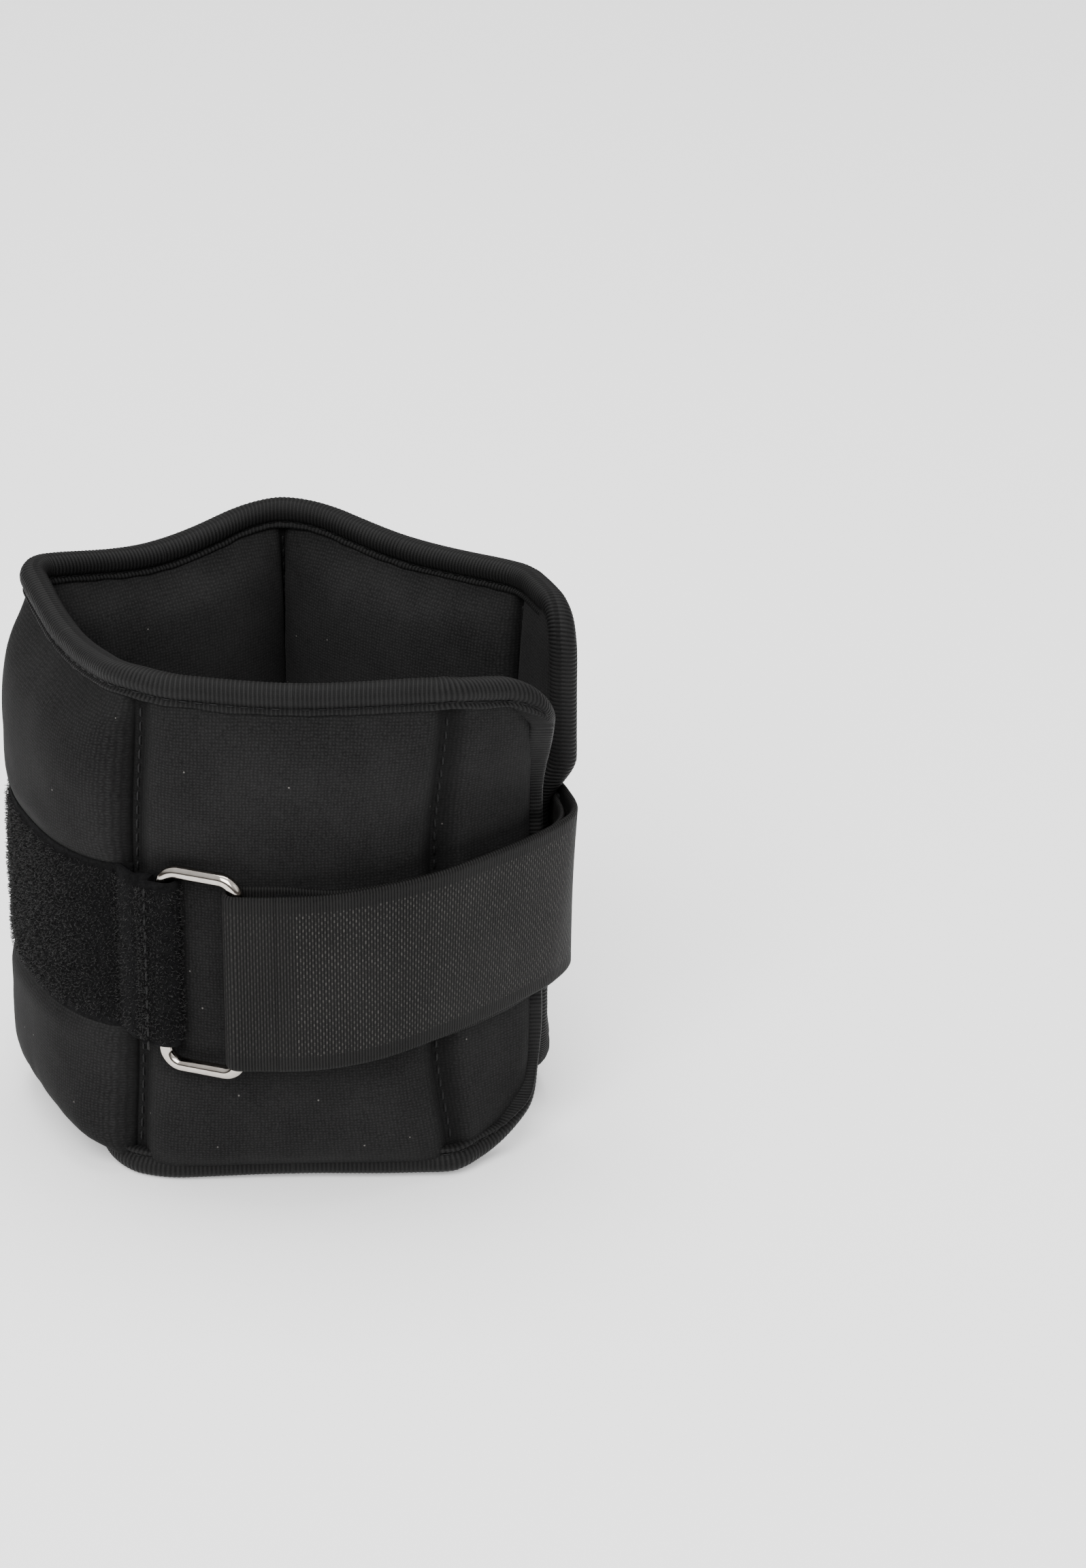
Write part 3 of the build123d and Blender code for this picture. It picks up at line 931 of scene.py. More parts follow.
class EdgePath:
    """A path along the cuff's edge with its outward and upward directions, in millimetres."""

    def __init__(self):
        self.points, self.outs, self.ups = [], [], []

    def add(self, point, out, up):
        self.points.append(np.asarray(point, float))
        self.outs.append(np.asarray(out, float))
        self.ups.append(np.asarray(up, float))

    def resample(self, step):
        """The same path at even steps."""
        points, outs, ups = map(np.array, (self.points, self.outs, self.ups))
        lengths = run_along(points)
        count = max(int(round(lengths[-1] / step)), 2)
        at = np.linspace(0, lengths[-1], count + 1)

        def read(values):
            return np.stack([np.interp(at, lengths, values[:, k]) for k in range(3)], axis=-1)

        outs, ups = read(outs), read(ups)
        outs /= np.linalg.norm(outs, axis=1, keepdims=True)
        ups /= np.linalg.norm(ups, axis=1, keepdims=True)
        return at, read(points), outs, ups


FINE = 0.5


def edge_height(name, x, top):
    return float(top_edge(name, x) if top else bottom_edge(name, x))


def add_edge(path, name, first, last, top):
    """Follow a panel's edge from one place along it to another."""
    panel = panels[name]
    for x in np.linspace(first, last, max(int(abs(last - first) / FINE), 2)):
        z = edge_height(name, x, top)
        path.add(panel.place(x, 0.0, z) / MM, (*panel.edge_out(x, z), 0), (0, 0, 1 if top else -1))


def binding_rings(path):
    """Sweep the tape's profile along a path, with its ribs, puckers and wavy selvage."""
    at, points, outs, ups = path.resample(RING_STEP)
    depth = -PROFILE[:, 1] / BINDING_DEPTH
    places = points * MM
    swell = 1 + 0.07 * waver(places, 0.011, BINDING_SEED)
    lean = 0.5 * waver(places, 0.02, BINDING_SEED + 3)
    lip = 0.35 * waver(places, 0.0035, BINDING_SEED + 6)
    drop = 0.3 * waver(places, 0.016, BINDING_SEED + 12)
    rib = 0.05 * np.sin(2 * math.pi * at / RIB_PITCH)
    rings = np.zeros((len(at), len(PROFILE), 3))
    for k, (side, up) in enumerate(PROFILE):
        outward = side * swell + np.sign(side) * rib * (1 - depth[k] * 0.5)
        outward = outward + lean * (1 - depth[k]) * 0.6
        upward = up + (rib + drop * 0.4) * (1 if k in (0, 1, len(PROFILE) - 1) else 0.4)
        if depth[k] > 0.85:
            upward = upward + lip
        rings[:, k] = points + outs * outward[:, None] + ups * np.asarray(upward)[:, None]
    return at, rings * MM


def binding_stitches(name, path):
    """Stitches in the groove on both sides of a binding."""
    _, points, outs, ups = path.resample(STITCH_LENGTH + STITCH_GAP)
    steps = np.gradient(points, axis=0)
    steps /= np.linalg.norm(steps, axis=1, keepdims=True)
    spots = []
    for point, out, up, step in zip(points[1:-1], outs[1:-1], ups[1:-1], steps[1:-1]):
        for sign in (1, -1):
            spots.append((point + out * sign * GROOVE_OUT - up * GROOVE_DEPTH, step, out * sign))
    return stitch_mesh(f"{name}_stitches", spots, BINDING_STITCH_RADIUS)


def blend_at(piece, before, after, reach):
    """Bake a piece's transform into its mesh."""
    bisector = panels[before].along + panels[after].along
    bisector = bisector / np.linalg.norm(bisector)
    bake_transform(piece)


def make_binding(name, path, bodies, nodes):
    """A length of binding and its stitches, with the CAD nodes it stands for hidden."""
    at, rings = binding_rings(path)
    cloth = np.zeros_like(rings)
    cloth[..., 0] = at[:, None]
    cloth[..., 1] = run_along(PROFILE)[None, :]
    piece = tube_object(name, rings, cloth, BINDING)
    if nodes:
        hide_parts(*nodes)
    blend_at(piece, *bodies, BINDING_REACH)
    blend_at(binding_stitches(name, path), *bodies, BINDING_REACH)


def make_corner_binding(before, after, level, nodes):
    """The tape over one seam, from the middle of one pocket to the middle of the next."""
    path = EdgePath()
    top = level == "top"
    add_edge(path, before, panels[before].width / 2, panels[before].width, top)
    add_edge(path, after, FINE, panels[after].width / 2, top)
    make_binding(f"{before}_to_{after}_{level}_binding", path, (before, after), nodes)


def add_flap_end(path, name, sign):
    """Down the rounded free end of a flap, from its top edge to its bottom edge."""
    panel = panels[name]
    end_x = panel.width if sign > 0 else 0.0
    straight_on, out = level_direction(panel.along * sign), level_direction(panel.out)
    turn = math.radians(CURLS[name][1])
    along = straight_on * math.cos(turn) - out * math.sin(turn)

    def add(x_back, z, up):
        face = out * math.cos(turn) + straight_on * math.sin(turn)
        share = min(abs(float(np.dot(up, along))), 1.0)
        path.add(panel.place(end_x - sign * x_back, 0.0, z) / MM, out + (face - out) * share, up)

    for angle in np.radians(np.linspace(0, 90, 19)[1:]):
        up = along * math.sin(angle) + UP * math.cos(angle)
        add(TOP_CORNER * (1 - math.sin(angle)), HEIGHT - TOP_CORNER * (1 - math.cos(angle)), up)
    for z in np.linspace(HEIGHT - TOP_CORNER - FINE, BOTTOM_CORNER + FINE, 150):
        add(0.0, z, along)
    for angle in np.radians(np.linspace(0, 90, 25)):
        up = along * math.cos(angle) - UP * math.sin(angle)
        add(BOTTOM_CORNER * (1 - math.cos(angle)), BOTTOM_CORNER * (1 - math.sin(angle)), up)


def make_flap_binding(flap_name, pocket_name, bodies):
    """The tape from a pocket's middle round the free end of the flap beside it and back underneath."""
    flap, pocket = panels[flap_name], panels[pocket_name]
    on_left = flap_name == "front_flap"

    def follow(panel, first, last, top, mirrored):
        if mirrored:
            first, last = panel.width - first, panel.width - last
        add_edge(path, panel.name, first, last, top)

    path = EdgePath()
    follow(pocket, pocket.width / 2, 0.0, True, not on_left)
    follow(flap, FINE, flap.width - TOP_CORNER, True, on_left)
    add_flap_end(path, flap_name, -1 if on_left else 1)
    follow(flap, flap.width - BOTTOM_CORNER - FINE, FINE, False, on_left)
    follow(pocket, 0.0, pocket.width / 2, False, not on_left)
    nodes = [f"{flap_name}_binding", *(f"{pocket_name}_{level}_binding" for level in ("top", "bottom"))]
    make_binding(f"{flap_name}_edge_binding", path, bodies, nodes)


for before, after in zip(POCKETS, POCKETS[1:]):
    for level in ("top", "bottom"):
        # The back right pocket's own lengths of binding belong to the right flap's piece.
        own = [] if after == "back_right" else [f"{after}_{level}_binding"]
        make_corner_binding(before, after, level, own)
make_flap_binding("front_flap", "front", ("front_flap", "front"))
make_flap_binding("right_flap", "back_right", ("back_right", "right_flap"))


# ---- seams: pressed webs between the panels, with their stitches ----
WEB_REACH = 2.6
WEB_HALF = (1.15, 0.95, 0.75, 0.6, 0.5, 0.42)
WEB_END = 3.5
SEAM_BLEND = 2.5
STITCHED_FROM = 9.0
STITCHED_TO = HEIGHT - 8.5


def make_seam_web(before, after):
    """The pressed strip of neoprene that the two panels fold about."""
    a, b = panels[before], panels[after]
    heights = np.linspace(WEB_END, HEIGHT - WEB_END, 84)
    steps = np.linspace(WEB_REACH, 0.0, len(WEB_HALF))
    middle = len(WEB_HALF) - 1
    sides = []
    for sign in (1, -1):
        rows = [a.place(a.width - r, sign * h, heights) for r, h in zip(steps, WEB_HALF)]
        rows += [b.place(r, sign * h, heights) for r, h in zip(steps[-2::-1], WEB_HALF[-2::-1])]
        rows[middle] = (rows[middle] + b.place(0.0, sign * WEB_HALF[-1], heights)) / 2
        sides.append(np.array(rows))
    along = np.linspace(-WEB_REACH, WEB_REACH, len(sides[0]))
    # The third coordinate 1 gives the whole web the full painted crease shade.
    cloth = np.stack(np.broadcast_arrays(along[:, None], heights[None, :], 1.0), axis=-1)
    piece = slab_object(f"{before}_to_{after}_seam_web", *sides, cloth, NEOPRENE)
    blend_at(piece, before, after, SEAM_BLEND)


def make_seam_stitches(before, after, node):
    """Both faces of the stitched line along one seam."""
    a, b = panels[before], panels[after]
    out = level_direction((a.out + b.out) / np.linalg.norm(a.out + b.out))
    spots = []
    for z in np.arange(STITCHED_FROM, STITCHED_TO, STITCH_LENGTH + STITCH_GAP):
        for sign in (1, -1):
            middle = (a.place(a.width, 0.0, z) + b.place(0.0, 0.0, z)) / 2 / MM + out * sign * WEB_HALF[4]
            spots.append((middle, UP, out * sign))
    piece = stitch_mesh(f"{node}_stitches", spots)
    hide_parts(node)
    blend_at(piece, before, after, SEAM_BLEND)


SEAMS = ("front_flap_seam", "front_corner_seam", "left_corner_seam", "back_corner_seam", "right_flap_seam")
for before, after, node in zip(PANEL_NAMES, PANEL_NAMES[1:], SEAMS):
    make_seam_web(before, after)
    make_seam_stitches(before, after, node)


# ---- ribbons: straps and tapes that stand on edge along a plan path ----
def path_frames(plan):
    """Run, and leftward direction, at each point of a plan path."""
    plan = np.array(plan)
    steps = np.gradient(plan, axis=0)
    steps /= np.linalg.norm(steps, axis=1, keepdims=True)
    return run_along(plan), np.stack([-steps[:, 1], steps[:, 0]], axis=-1)


EDGE_WAVE = 0.15


def ribbon(name, plan, thick, material, width=STRAP_WIDTH, run_start=0.0, seed=0.0, rows=34, lean=0.0,
           rise=0.0):
    """A flat tape standing on edge, its thickness, lean and rise given once or at each place of its path."""
    plan = np.array(plan)
    lengths, sides = path_frames(plan)
    thick, lean, rise = [np.broadcast_to(v, lengths.shape) for v in (thick, lean, rise)]
    share = 0.5 - 0.5 * np.cos(np.linspace(0, math.pi, rows))
    around = [(t, 1.0) for t in share] + [(t, -1.0) for t in share[::-1]]
    rings = np.zeros((len(plan), len(around), 3))
    cloth = np.zeros_like(rings)
    wave = np.array([noise.noise(Vector((length / 14.0, seed, 0.0))) for length in lengths]) * EDGE_WAVE
    for k, (t, sign) in enumerate(around):
        across = (t - 0.5) * width
        edge = width / 2 - abs(across)
        half = thick / 2 * np.sqrt(np.clip(edge / (thick * 0.5), 0, 1) * 0.9 + 0.1)
        offset = sign * half - lean * across / (width / 2)
        rings[:, k, :2] = plan + sides * offset[:, None]
        rings[:, k, 2] = STRAP_MIDDLE + across + wave * (2 * t - 1) + rise
        cloth[:, k, 0] = lengths + run_start
        cloth[:, k, 1] = across
        cloth[:, k, 2] = sign
    return tube_object(name, rings * MM, cloth, material)


PATH_STEP = 0.5


def turned(direction, angle):
    """A plan direction turned anticlockwise by an angle in radians."""
    return direction * math.cos(angle) + left_of(direction) * math.sin(angle)


def straight(start, end, step=PATH_STEP):
    """Evenly spaced points from start to end."""
    count = max(int(np.linalg.norm(end - start) / step), 2)
    return [start + (end - start) * t for t in np.linspace(0, 1, count + 1)]


def tangent_arc(start, direction, end):
    """Points of the arc that leaves start in a direction and reaches end, and its direction there."""
    chord = end - start
    length = float(np.linalg.norm(chord))
    cross = direction[0] * chord[1] - direction[1] * chord[0]
    half = math.asin(float(np.clip(cross / length, -1, 1)))
    if abs(half) < 1e-4:
        return straight(start, end), direction
    radius = length / (2 * math.sin(half))
    centre = start + left_of(direction) * radius
    shares = np.linspace(0, 1, max(int(abs(2 * half * radius) / PATH_STEP), 2) + 1)
    points = [centre + turned(start - centre, 2 * half * t) for t in shares]
    return points, turned(direction, 2 * half)


pivot = joint_place("ring_swing")
pull_bar = joint_place("strap_peel")
bend_axis = joint_place("strap_bend")
along_front = toward(FRONT_HEADING)
front_out = panels["front"].out
flap_out = panels["front_flap"].out
right_out = panels["right_flap"].out
UNDER_OFFSET = 4.1
OVER_OFFSET = 6.4
OVER_THICK = 1.5
ROOT_START = 5.5
UNDER_DROP = 1.5
UNDER_DROP_RUN = 14.0
# How much closer than its offset a layer passes the front flap's end and the right flap's end.
FRONT_END_TUCK = 2.4
RIGHT_END_TUCK = 0.6
TIP_RUN = 18.0
BEND_REACH = 8.0
RELAX_PASSES = 60
FOLD_SEED = 4.0
STRAP_LEAN = 2.0
STRAP_RISE = 3.2
# The strap's lean and rise grow from this x over this run, and its lean ends from this y over this run.
POSE_START = 2.0
POSE_RUN = 48.0
UPRIGHT_START = -22.0
UPRIGHT_RUN = 12.0
PILE_FACE_THICK = 0.7
PILE_FACE_MARGIN = 2.4
PATCH_THICK = 0.75
PATCH_MARGIN = 4.0
PATCH_OFFSET = 1.13


def strap_stop(corner_index, out, offset):
    """A place that a strap layer passes outside a corner of the plan, at the strap's height."""
    return corners[corner_index] + np.array(STRAP_SHIFTS[corner_index][:2]) + out * offset


def wrap_path(start, offset):
    """A strap layer's path from beside the ring round the front seam and both flap ends."""
    path = [start - along_front * STRAIGHT_RUN]
    direction = -along_front
    stops = (strap_stop(1, flap_out, offset), strap_stop(0, flap_out, offset - FRONT_END_TUCK),
             strap_stop(6, right_out, offset - RIGHT_END_TUCK))
    marks = []
    for stop in stops:
        points, direction = tangent_arc(path[-1], direction, stop)
        path += points[1:]
        marks.append(len(path) - 1)
    return path, direction, marks


def relax(path, passes):
    """Smooth a plan path, its ends held."""
    path = np.array(path)
    for _ in range(passes):
        path[1:-1] = 0.5 * path[1:-1] + 0.25 * (path[:-2] + path[2:])
    return path


def strap_pose(path):
    """Lean and rise of the strap, growing toward the right flap."""
    path = np.array(path)
    share = smooth_step((path[:, 0] - POSE_START) / POSE_RUN)
    before_bend = 1 - smooth_step((path[:, 1] - UPRIGHT_START) / UPRIGHT_RUN)
    return STRAP_LEAN * share * before_bend, STRAP_RISE * share


def strap_layer(name, path, nodes, thick=STRAP_THICK, run_start=STRAIGHT_RUN, seed=FOLD_SEED, **pose):
    """One layer of webbing and the CAD nodes that it stands for."""
    piece = ribbon(name, path, thick, STRAP, run_start=run_start, seed=seed, **pose)
    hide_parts(*nodes)
    return piece


def blend_strap(piece, before, after, start, end):
    """Bake a strap layer's transform into its mesh."""
    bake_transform(piece)


under_bar = pull_bar - front_out * FOLD_RADIUS
over_bar = pull_bar + front_out * FOLD_RADIUS

# The under layer, from beside the ring to where it is sewn to the right flap.
under_path, _, under_marks = wrap_path(under_bar, UNDER_OFFSET)
root_end = panels["right_flap"].place(ROOT_START, UNDER_OFFSET, STRAP_MIDDLE)[:2] / MM
under_path = relax(under_path + straight(under_path[-1], root_end)[1:], RELAX_PASSES)
under_lean, under_rise = strap_pose(under_path)
under_rise = under_rise - UNDER_DROP * smooth_step((under_path[:, 0] - under_path[0, 0]) / UNDER_DROP_RUN)
under = strap_layer("strap_under_webbing", under_path, ("strap_under_layer", "strap_root"),
                    lean=under_lean, rise=under_rise)
bend_along = under_path[under_marks[1]] - under_path[under_marks[2]]
bend_along = bend_along / np.linalg.norm(bend_along)
bend_ends = bend_axis - bend_along * BEND_REACH, bend_axis + bend_along * BEND_REACH
blend_strap(under, "right_flap", "strap_front", *bend_ends)

# Its pile face, which shows above the outer layer.
pile_end = under_marks[1] - 6
pile_path = (under_path - path_frames(under_path)[1] * (STRAP_THICK + PILE_FACE_THICK) / 2)[:pile_end]
pile_face = ribbon("strap_pile_face", pile_path, PILE_FACE_THICK, PILE, STRAP_WIDTH - PILE_FACE_MARGIN,
                   seed=FOLD_SEED, lean=under_lean[:pile_end], rise=under_rise[:pile_end])
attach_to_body(pile_face, "strap_front")

# The fold round the ring's bar.
fold_path = straight(under_bar - along_front * STRAIGHT_RUN, under_bar)
fold_path += [pull_bar + FOLD_RADIUS * (-front_out * math.cos(t) + along_front * math.sin(t))
              for t in np.linspace(0, math.pi, 25)[1:-1]]
fold_path += straight(over_bar, over_bar - along_front * STRAIGHT_RUN)
fold = strap_layer("strap_fold_webbing", fold_path, ("strap_fold",), run_start=-2 * STRAIGHT_RUN)
blend_strap(fold, "strap_front", "strap_tail", under_bar + front_out * 0.6, over_bar - front_out * 0.6)

# The outer layer and its tip.
over_path, over_direction, over_marks = wrap_path(over_bar, OVER_OFFSET)
tip_end = over_path[-1] + over_direction * TIP_RUN
over_path = relax(over_path + straight(over_path[-1], tip_end)[1:], RELAX_PASSES)
over_lean, over_rise = strap_pose(over_path)
over = strap_layer("strap_outer_webbing", over_path, ("strap_outer_layer", "strap_tip"), OVER_THICK,
                   seed=14.0, lean=over_lean, rise=over_rise)
blend_strap(over, "strap_tail", "strap_tip", *bend_ends[::-1])

# The hook patch inside the tip.
inside_tip = slice(over_marks[2] + 2, -3)
patch_path = (over_path + path_frames(over_path)[1] * PATCH_OFFSET)[inside_tip]
patch = ribbon("hook_patch_tape", patch_path, PATCH_THICK, HOOKS, STRAP_WIDTH - PATCH_MARGIN, seed=2.0,
               lean=over_lean[inside_tip], rise=over_rise[inside_tip])
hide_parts("hook_patch")
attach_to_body(patch, "strap_tip")


# ---- loop tape round the outside, and its tab ----
def surface_height(name, x, z):
    """How far a pocket's outer cover stands out at a place."""
    grid_x, grid_z, y = surfaces[name]
    columns = grid_x[:, 0]
    values = np.array([[np.interp(zz, grid_z[i], y[i]) for zz in z] for i in range(len(columns))])
    return np.array([[np.interp(xx, columns, values[:, j]) for j in range(len(z))] for xx in x])


def pile_grid(x, z, seed):
    """Clumps of the pile: how far the tape's face stands out."""
    grid = np.stack([*np.meshgrid(x, z, indexing="ij"), np.zeros((len(x), len(z)))], axis=-1) * MM
    return 0.15 * waver(grid, 0.0011, seed) + 0.25 * waver(grid, 0.0032, seed + 5)


def scatter(count, seed):
    """Even but irregular places in the unit square, the same on every run."""
    rng = np.random.default_rng(seed)
    columns = max(int(math.sqrt(count)), 1)
    rows = -(-count // columns)
    i, j = np.meshgrid(np.arange(columns), np.arange(rows), indexing="ij")
    u = (i.ravel() + rng.random(i.size)) / columns
    v = (j.ravel() + rng.random(j.size)) / rows
    return u, v, rng


TUFTS_PER_SQUARE = 2.4
TUFT_STEPS = 5
TUFT_SIDES = 3
TUFT_RADIUS = 0.05
TUFT_REACH = 0.7
TUFT_ARC = 0.86 * math.pi


def unit(vectors):
    """Vectors made one long."""
    return vectors / np.linalg.norm(vectors, axis=1, keepdims=True)


def tuft_roots(face, seed):
    """Where tufts stand on a grid of points in metres: base, normal and the grid's own direction."""
    rows, columns = face.shape[:2]
    edge_u = np.linalg.norm(np.diff(face, axis=0), axis=-1).sum(axis=0).mean() / MM
    edge_v = np.linalg.norm(np.diff(face, axis=1), axis=-1).sum(axis=1).mean() / MM
    u, v, rng = scatter(int(edge_u * edge_v * TUFTS_PER_SQUARE), seed)
    i = np.clip((u * (rows - 1)).astype(int), 0, rows - 2)
    j = np.clip((v * (columns - 1)).astype(int), 0, columns - 2)
    along = face[i + 1, j] - face[i, j]
    across = face[i, j + 1] - face[i, j]
    fu, fv = (u * (rows - 1) - i)[:, None], (v * (columns - 1) - j)[:, None]
    base = face[i, j] + along * fu + across * fv
    return base, unit(np.cross(along, across)), unit(along), rng


def tuft_mesh(name, face, seed, height=0.85):
    """Small curled loops of yarn standing over a grid of points in metres."""
    base, normal, along, rng = tuft_roots(face, seed)
    side = np.cross(normal, along)
    heading = rng.random(len(base)) * 2 * math.pi
    run = np.cos(heading)[:, None] * along + np.sin(heading)[:, None] * side
    high = (height * (0.55 + 0.9 * rng.random(len(base)) ** 1.5))[:, None]
    wide = (TUFT_REACH * (0.5 + rng.random(len(base))))[:, None]
    skew = (rng.random(len(base)) - 0.5)[:, None]
    lateral = np.cross(normal, run)
    rings = []
    for step in range(TUFT_STEPS):
        t = step / (TUFT_STEPS - 1)
        lift = math.sin(TUFT_ARC * t)
        centre = run * wide * (t - 0.3) + normal * (high * lift - 0.12) + lateral * skew * lift * 0.6
        tangent = unit(run * wide + normal * high * TUFT_ARC * math.cos(TUFT_ARC * t))
        second = np.cross(tangent, lateral)
        for k in range(TUFT_SIDES):
            angle = 2 * math.pi * k / TUFT_SIDES
            spoke = (lateral * math.cos(angle) + second * math.sin(angle)) * TUFT_RADIUS
            rings.append(base + (centre + spoke) * MM)
    per = TUFT_STEPS * TUFT_SIDES
    pattern = grid_faces(TUFT_STEPS, TUFT_SIDES, closed=True)
    pattern += [tuple(range(TUFT_SIDES))[::-1], tuple(per - TUFT_SIDES + k for k in range(TUFT_SIDES))]
    faces = [tuple(n * per + q for q in quad) for n in range(len(base)) for quad in pattern]
    return mesh_object(name, np.stack(rings, axis=1).reshape(-1, 3), faces, None, PILE_YARN)


def finish_pile(piece, tufts):
    """Join a tape and its tufts into one piece with two materials."""
    piece.data.materials.append(tufts.data.materials[0])
    merged = bpy.data.meshes.new(piece.name)
    work = bmesh.new()
    work.from_mesh(piece.data)
    first = len(work.faces)
    work.from_mesh(tufts.data)
    work.faces.ensure_lookup_table()
    for face in work.faces[first:]:
        face.material_index = 1
    work.to_mesh(merged)
    work.free()
    for material in piece.data.materials:
        merged.materials.append(material)
    old = piece.data
    piece.data = merged
    bpy.data.meshes.remove(old)
    bpy.data.objects.remove(tufts)


TAPE_COLUMNS = 110
TAPE_ROWS = 72
TAPE_GROUND_HALF = 0.3
TAPE_EDGE_LIFT = 0.25
PILE_LIFT = 0.5
PLAIN_SELVAGE = 1.2


def make_loop_tape(name, seed):
    """Pile tape lying on a pocket, sewn in at both seams."""
    panel = panels[name]
    x = np.linspace(SEAM_INSET, panel.width - SEAM_INSET, TAPE_COLUMNS)
    z = STRAP_MIDDLE + TAPE_RISE + np.linspace(-TAPE_WIDTH / 2, TAPE_WIDTH / 2, TAPE_ROWS)
    base = surface_height(name, x, z)
    edge = np.minimum(z - z[0], z[-1] - z)[None, :]
    pile = smooth_step(edge - PLAIN_SELVAGE)
    face = base + TAPE_GROUND_HALF + TAPE_EDGE_LIFT * smooth_step(edge / 0.6)
    face = face + (PILE_LIFT + pile_grid(x, z, seed)) * pile
    xx, zz = np.meshgrid(x, z, indexing="ij")
    cloth = np.stack([xx, zz, 0 * xx], axis=-1)
    front = panel.place(xx, face, zz)
    piece = slab_object(f"{name}_loop_pile", front, panel.place(xx, base - TAPE_GROUND_HALF, zz), cloth, PILE)
    pile_rows = slice(3, len(z) - 3)
    finish_pile(piece, tuft_mesh(f"{name}_tufts", front[:, pile_rows][:, ::-1], int(seed)))
    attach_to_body(piece, name)
    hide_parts(f"{name}_loop_tape")


def plan_strip(plan):
    """Grid of points in metres up a plan path, for tufts."""
    reach = (TAPE_WIDTH - 3.0) / 2
    heights = STRAP_MIDDLE + TAPE_RISE + np.linspace(-reach, reach, 30)
    return np.array([[(*point, z) for z in heights] for point in plan]) * MM


def pile_ribbon(name, plan, thick, seed, rows=60):
    """A ribbon of loop tape at the tape's height and width."""
    return ribbon(name, plan, thick, PILE, TAPE_WIDTH, seed=seed, rows=rows, rise=TAPE_RISE)


BRIDGE_LIFT = 2.5
BRIDGE_BLEND = 3.5


def make_seam_bridge(before, after, seed):
    """The tape where it crosses a seam between two pockets."""
    a, b = panels[before], panels[after]

    def stop(panel, x, from_seam):
        return panel.place(x, BRIDGE_LIFT + 0.5 * from_seam / 4, STRAP_MIDDLE)[:2] / MM

    past = (0.6, 1.2, 2.0, 2.8, 3.4) if after == "right_flap" else (0.6, 1.2, 2.0, 3.0, 4.0, 5.0)
    plan = [stop(a, a.width - r, r) for r in (5.0, 4.0, 3.0, 2.0, 1.2, 0.6)] + [stop(b, r, r) for r in past]
    plan = relax(plan, 3)
    thick = 2.2 - 0.9 * np.abs(np.linspace(-1, 1, len(plan))) ** 2
    piece = pile_ribbon(f"{before}_to_{after}_pile_bridge", plan, thick, seed)
    outer = plan + path_frames(plan)[1] * 0.9
    finish_pile(piece, tuft_mesh("bridge_tufts", plan_strip(outer)[:, ::-1], int(seed), height=0.6))
    blend_at(piece, before, after, BRIDGE_BLEND)


ring_side = toward(RING_HEADING)
ring_out = toward(RING_HEADING - 90)


def make_tab():
    """The end of the loop tape folded back round the ring's left bar."""
    near = pivot - ring_out * TAB_RADIUS
    far = pivot + ring_out * TAB_RADIUS
    plan = straight(near - ring_side * TAB_ROOT, near + ring_side * TAB_REACH, 0.4)
    plan += [pivot + ring_side * TAB_REACH + TAB_RADIUS * (-ring_out * math.cos(t) + ring_side * math.sin(t))
             for t in np.linspace(0, math.pi, 13)[1:-1]]
    plan += straight(far + ring_side * TAB_REACH, far - ring_side * TAB_ROOT, 0.4)
    plan = relax(plan, 3)
    piece = pile_ribbon("ring_tab_pile", plan, 1.3, 31.0, rows=70)
    outside = plan + path_frames(plan)[1] * 0.55
    finish_pile(piece, tuft_mesh("tab_tufts", plan_strip(outside)[:, ::-1], 31))
    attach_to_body(piece, "front")
    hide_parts("ring_tab")


def make_tab_bridge():
    """The tape from the left pocket across the front corner into the tab's two layers."""
    left = panels["left"]
    root = pivot - ring_side * TAB_ROOT
    plan = [left.place(x, lift, STRAP_MIDDLE)[:2] / MM
            for x, lift in ((6.0, 5.6), (4.5, 4.9), (3.0, 4.0), (1.6, 3.4))]
    plan += [root - ring_side * 2.2 + left.out * 0.6, root - ring_side * 1.0, root, root + ring_side * 1.5]
    plan = relax(tangent_spline(plan, 24), 2)
    thick = 1.4 + 4.2 * smooth_step((np.linspace(0, 1, len(plan)) - 0.35) / 0.5)
    piece = pile_ribbon("tab_to_left_pile_bridge", plan, thick, 37.0)
    outer = plan - path_frames(plan)[1] * (thick / 2 - 0.15)[:, None]
    finish_pile(piece, tuft_mesh("tab_bridge_tufts", plan_strip(outer), 37))
    blend_at(piece, "front", "left", BRIDGE_BLEND)


def tangent_spline(points, count):
    """Smooth curve through points, evenly sampled by share."""
    points = np.array(points)
    at = np.linspace(0, len(points) - 1, count)
    k = np.clip(at.astype(int), 0, len(points) - 2)
    t = (at - k)[:, None]
    before, after = points[np.maximum(k - 1, 0)], points[np.minimum(k + 2, len(points) - 1)]
    first, second = points[k], points[k + 1]
    slope_a, slope_b = (second - before) / 2, (after - first) / 2
    return ((2 * t ** 3 - 3 * t ** 2 + 1) * first + (t ** 3 - 2 * t ** 2 + t) * slope_a
            + (3 * t ** 2 - 2 * t ** 3) * second + (t ** 3 - t ** 2) * slope_b)


def make_flap_tape():
    """The loop tape on the right flap, under the strap's sewn end."""
    panel = panels["right_flap"]
    x, z = np.meshgrid(np.linspace(2.4, 14.0, 24), STRAP_MIDDLE + np.linspace(-20, 20, 60), indexing="ij")
    front = panel.place(x, 2.9 + 0.15 * waver(panel.place(x, 0 * x, z), 0.002, 5.0), z)
    cloth = np.stack([x, z, 0 * x], axis=-1)
    piece = slab_object("right_flap_loop_pile", front, panel.place(x, 1.7 + 0 * x, z), cloth, PILE)
    finish_pile(piece, tuft_mesh("flap_tufts", front[:, 2:-2][:, ::-1], 73, height=0.5))
    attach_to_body(piece, "right_flap")
    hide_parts("right_flap_loop_tape")


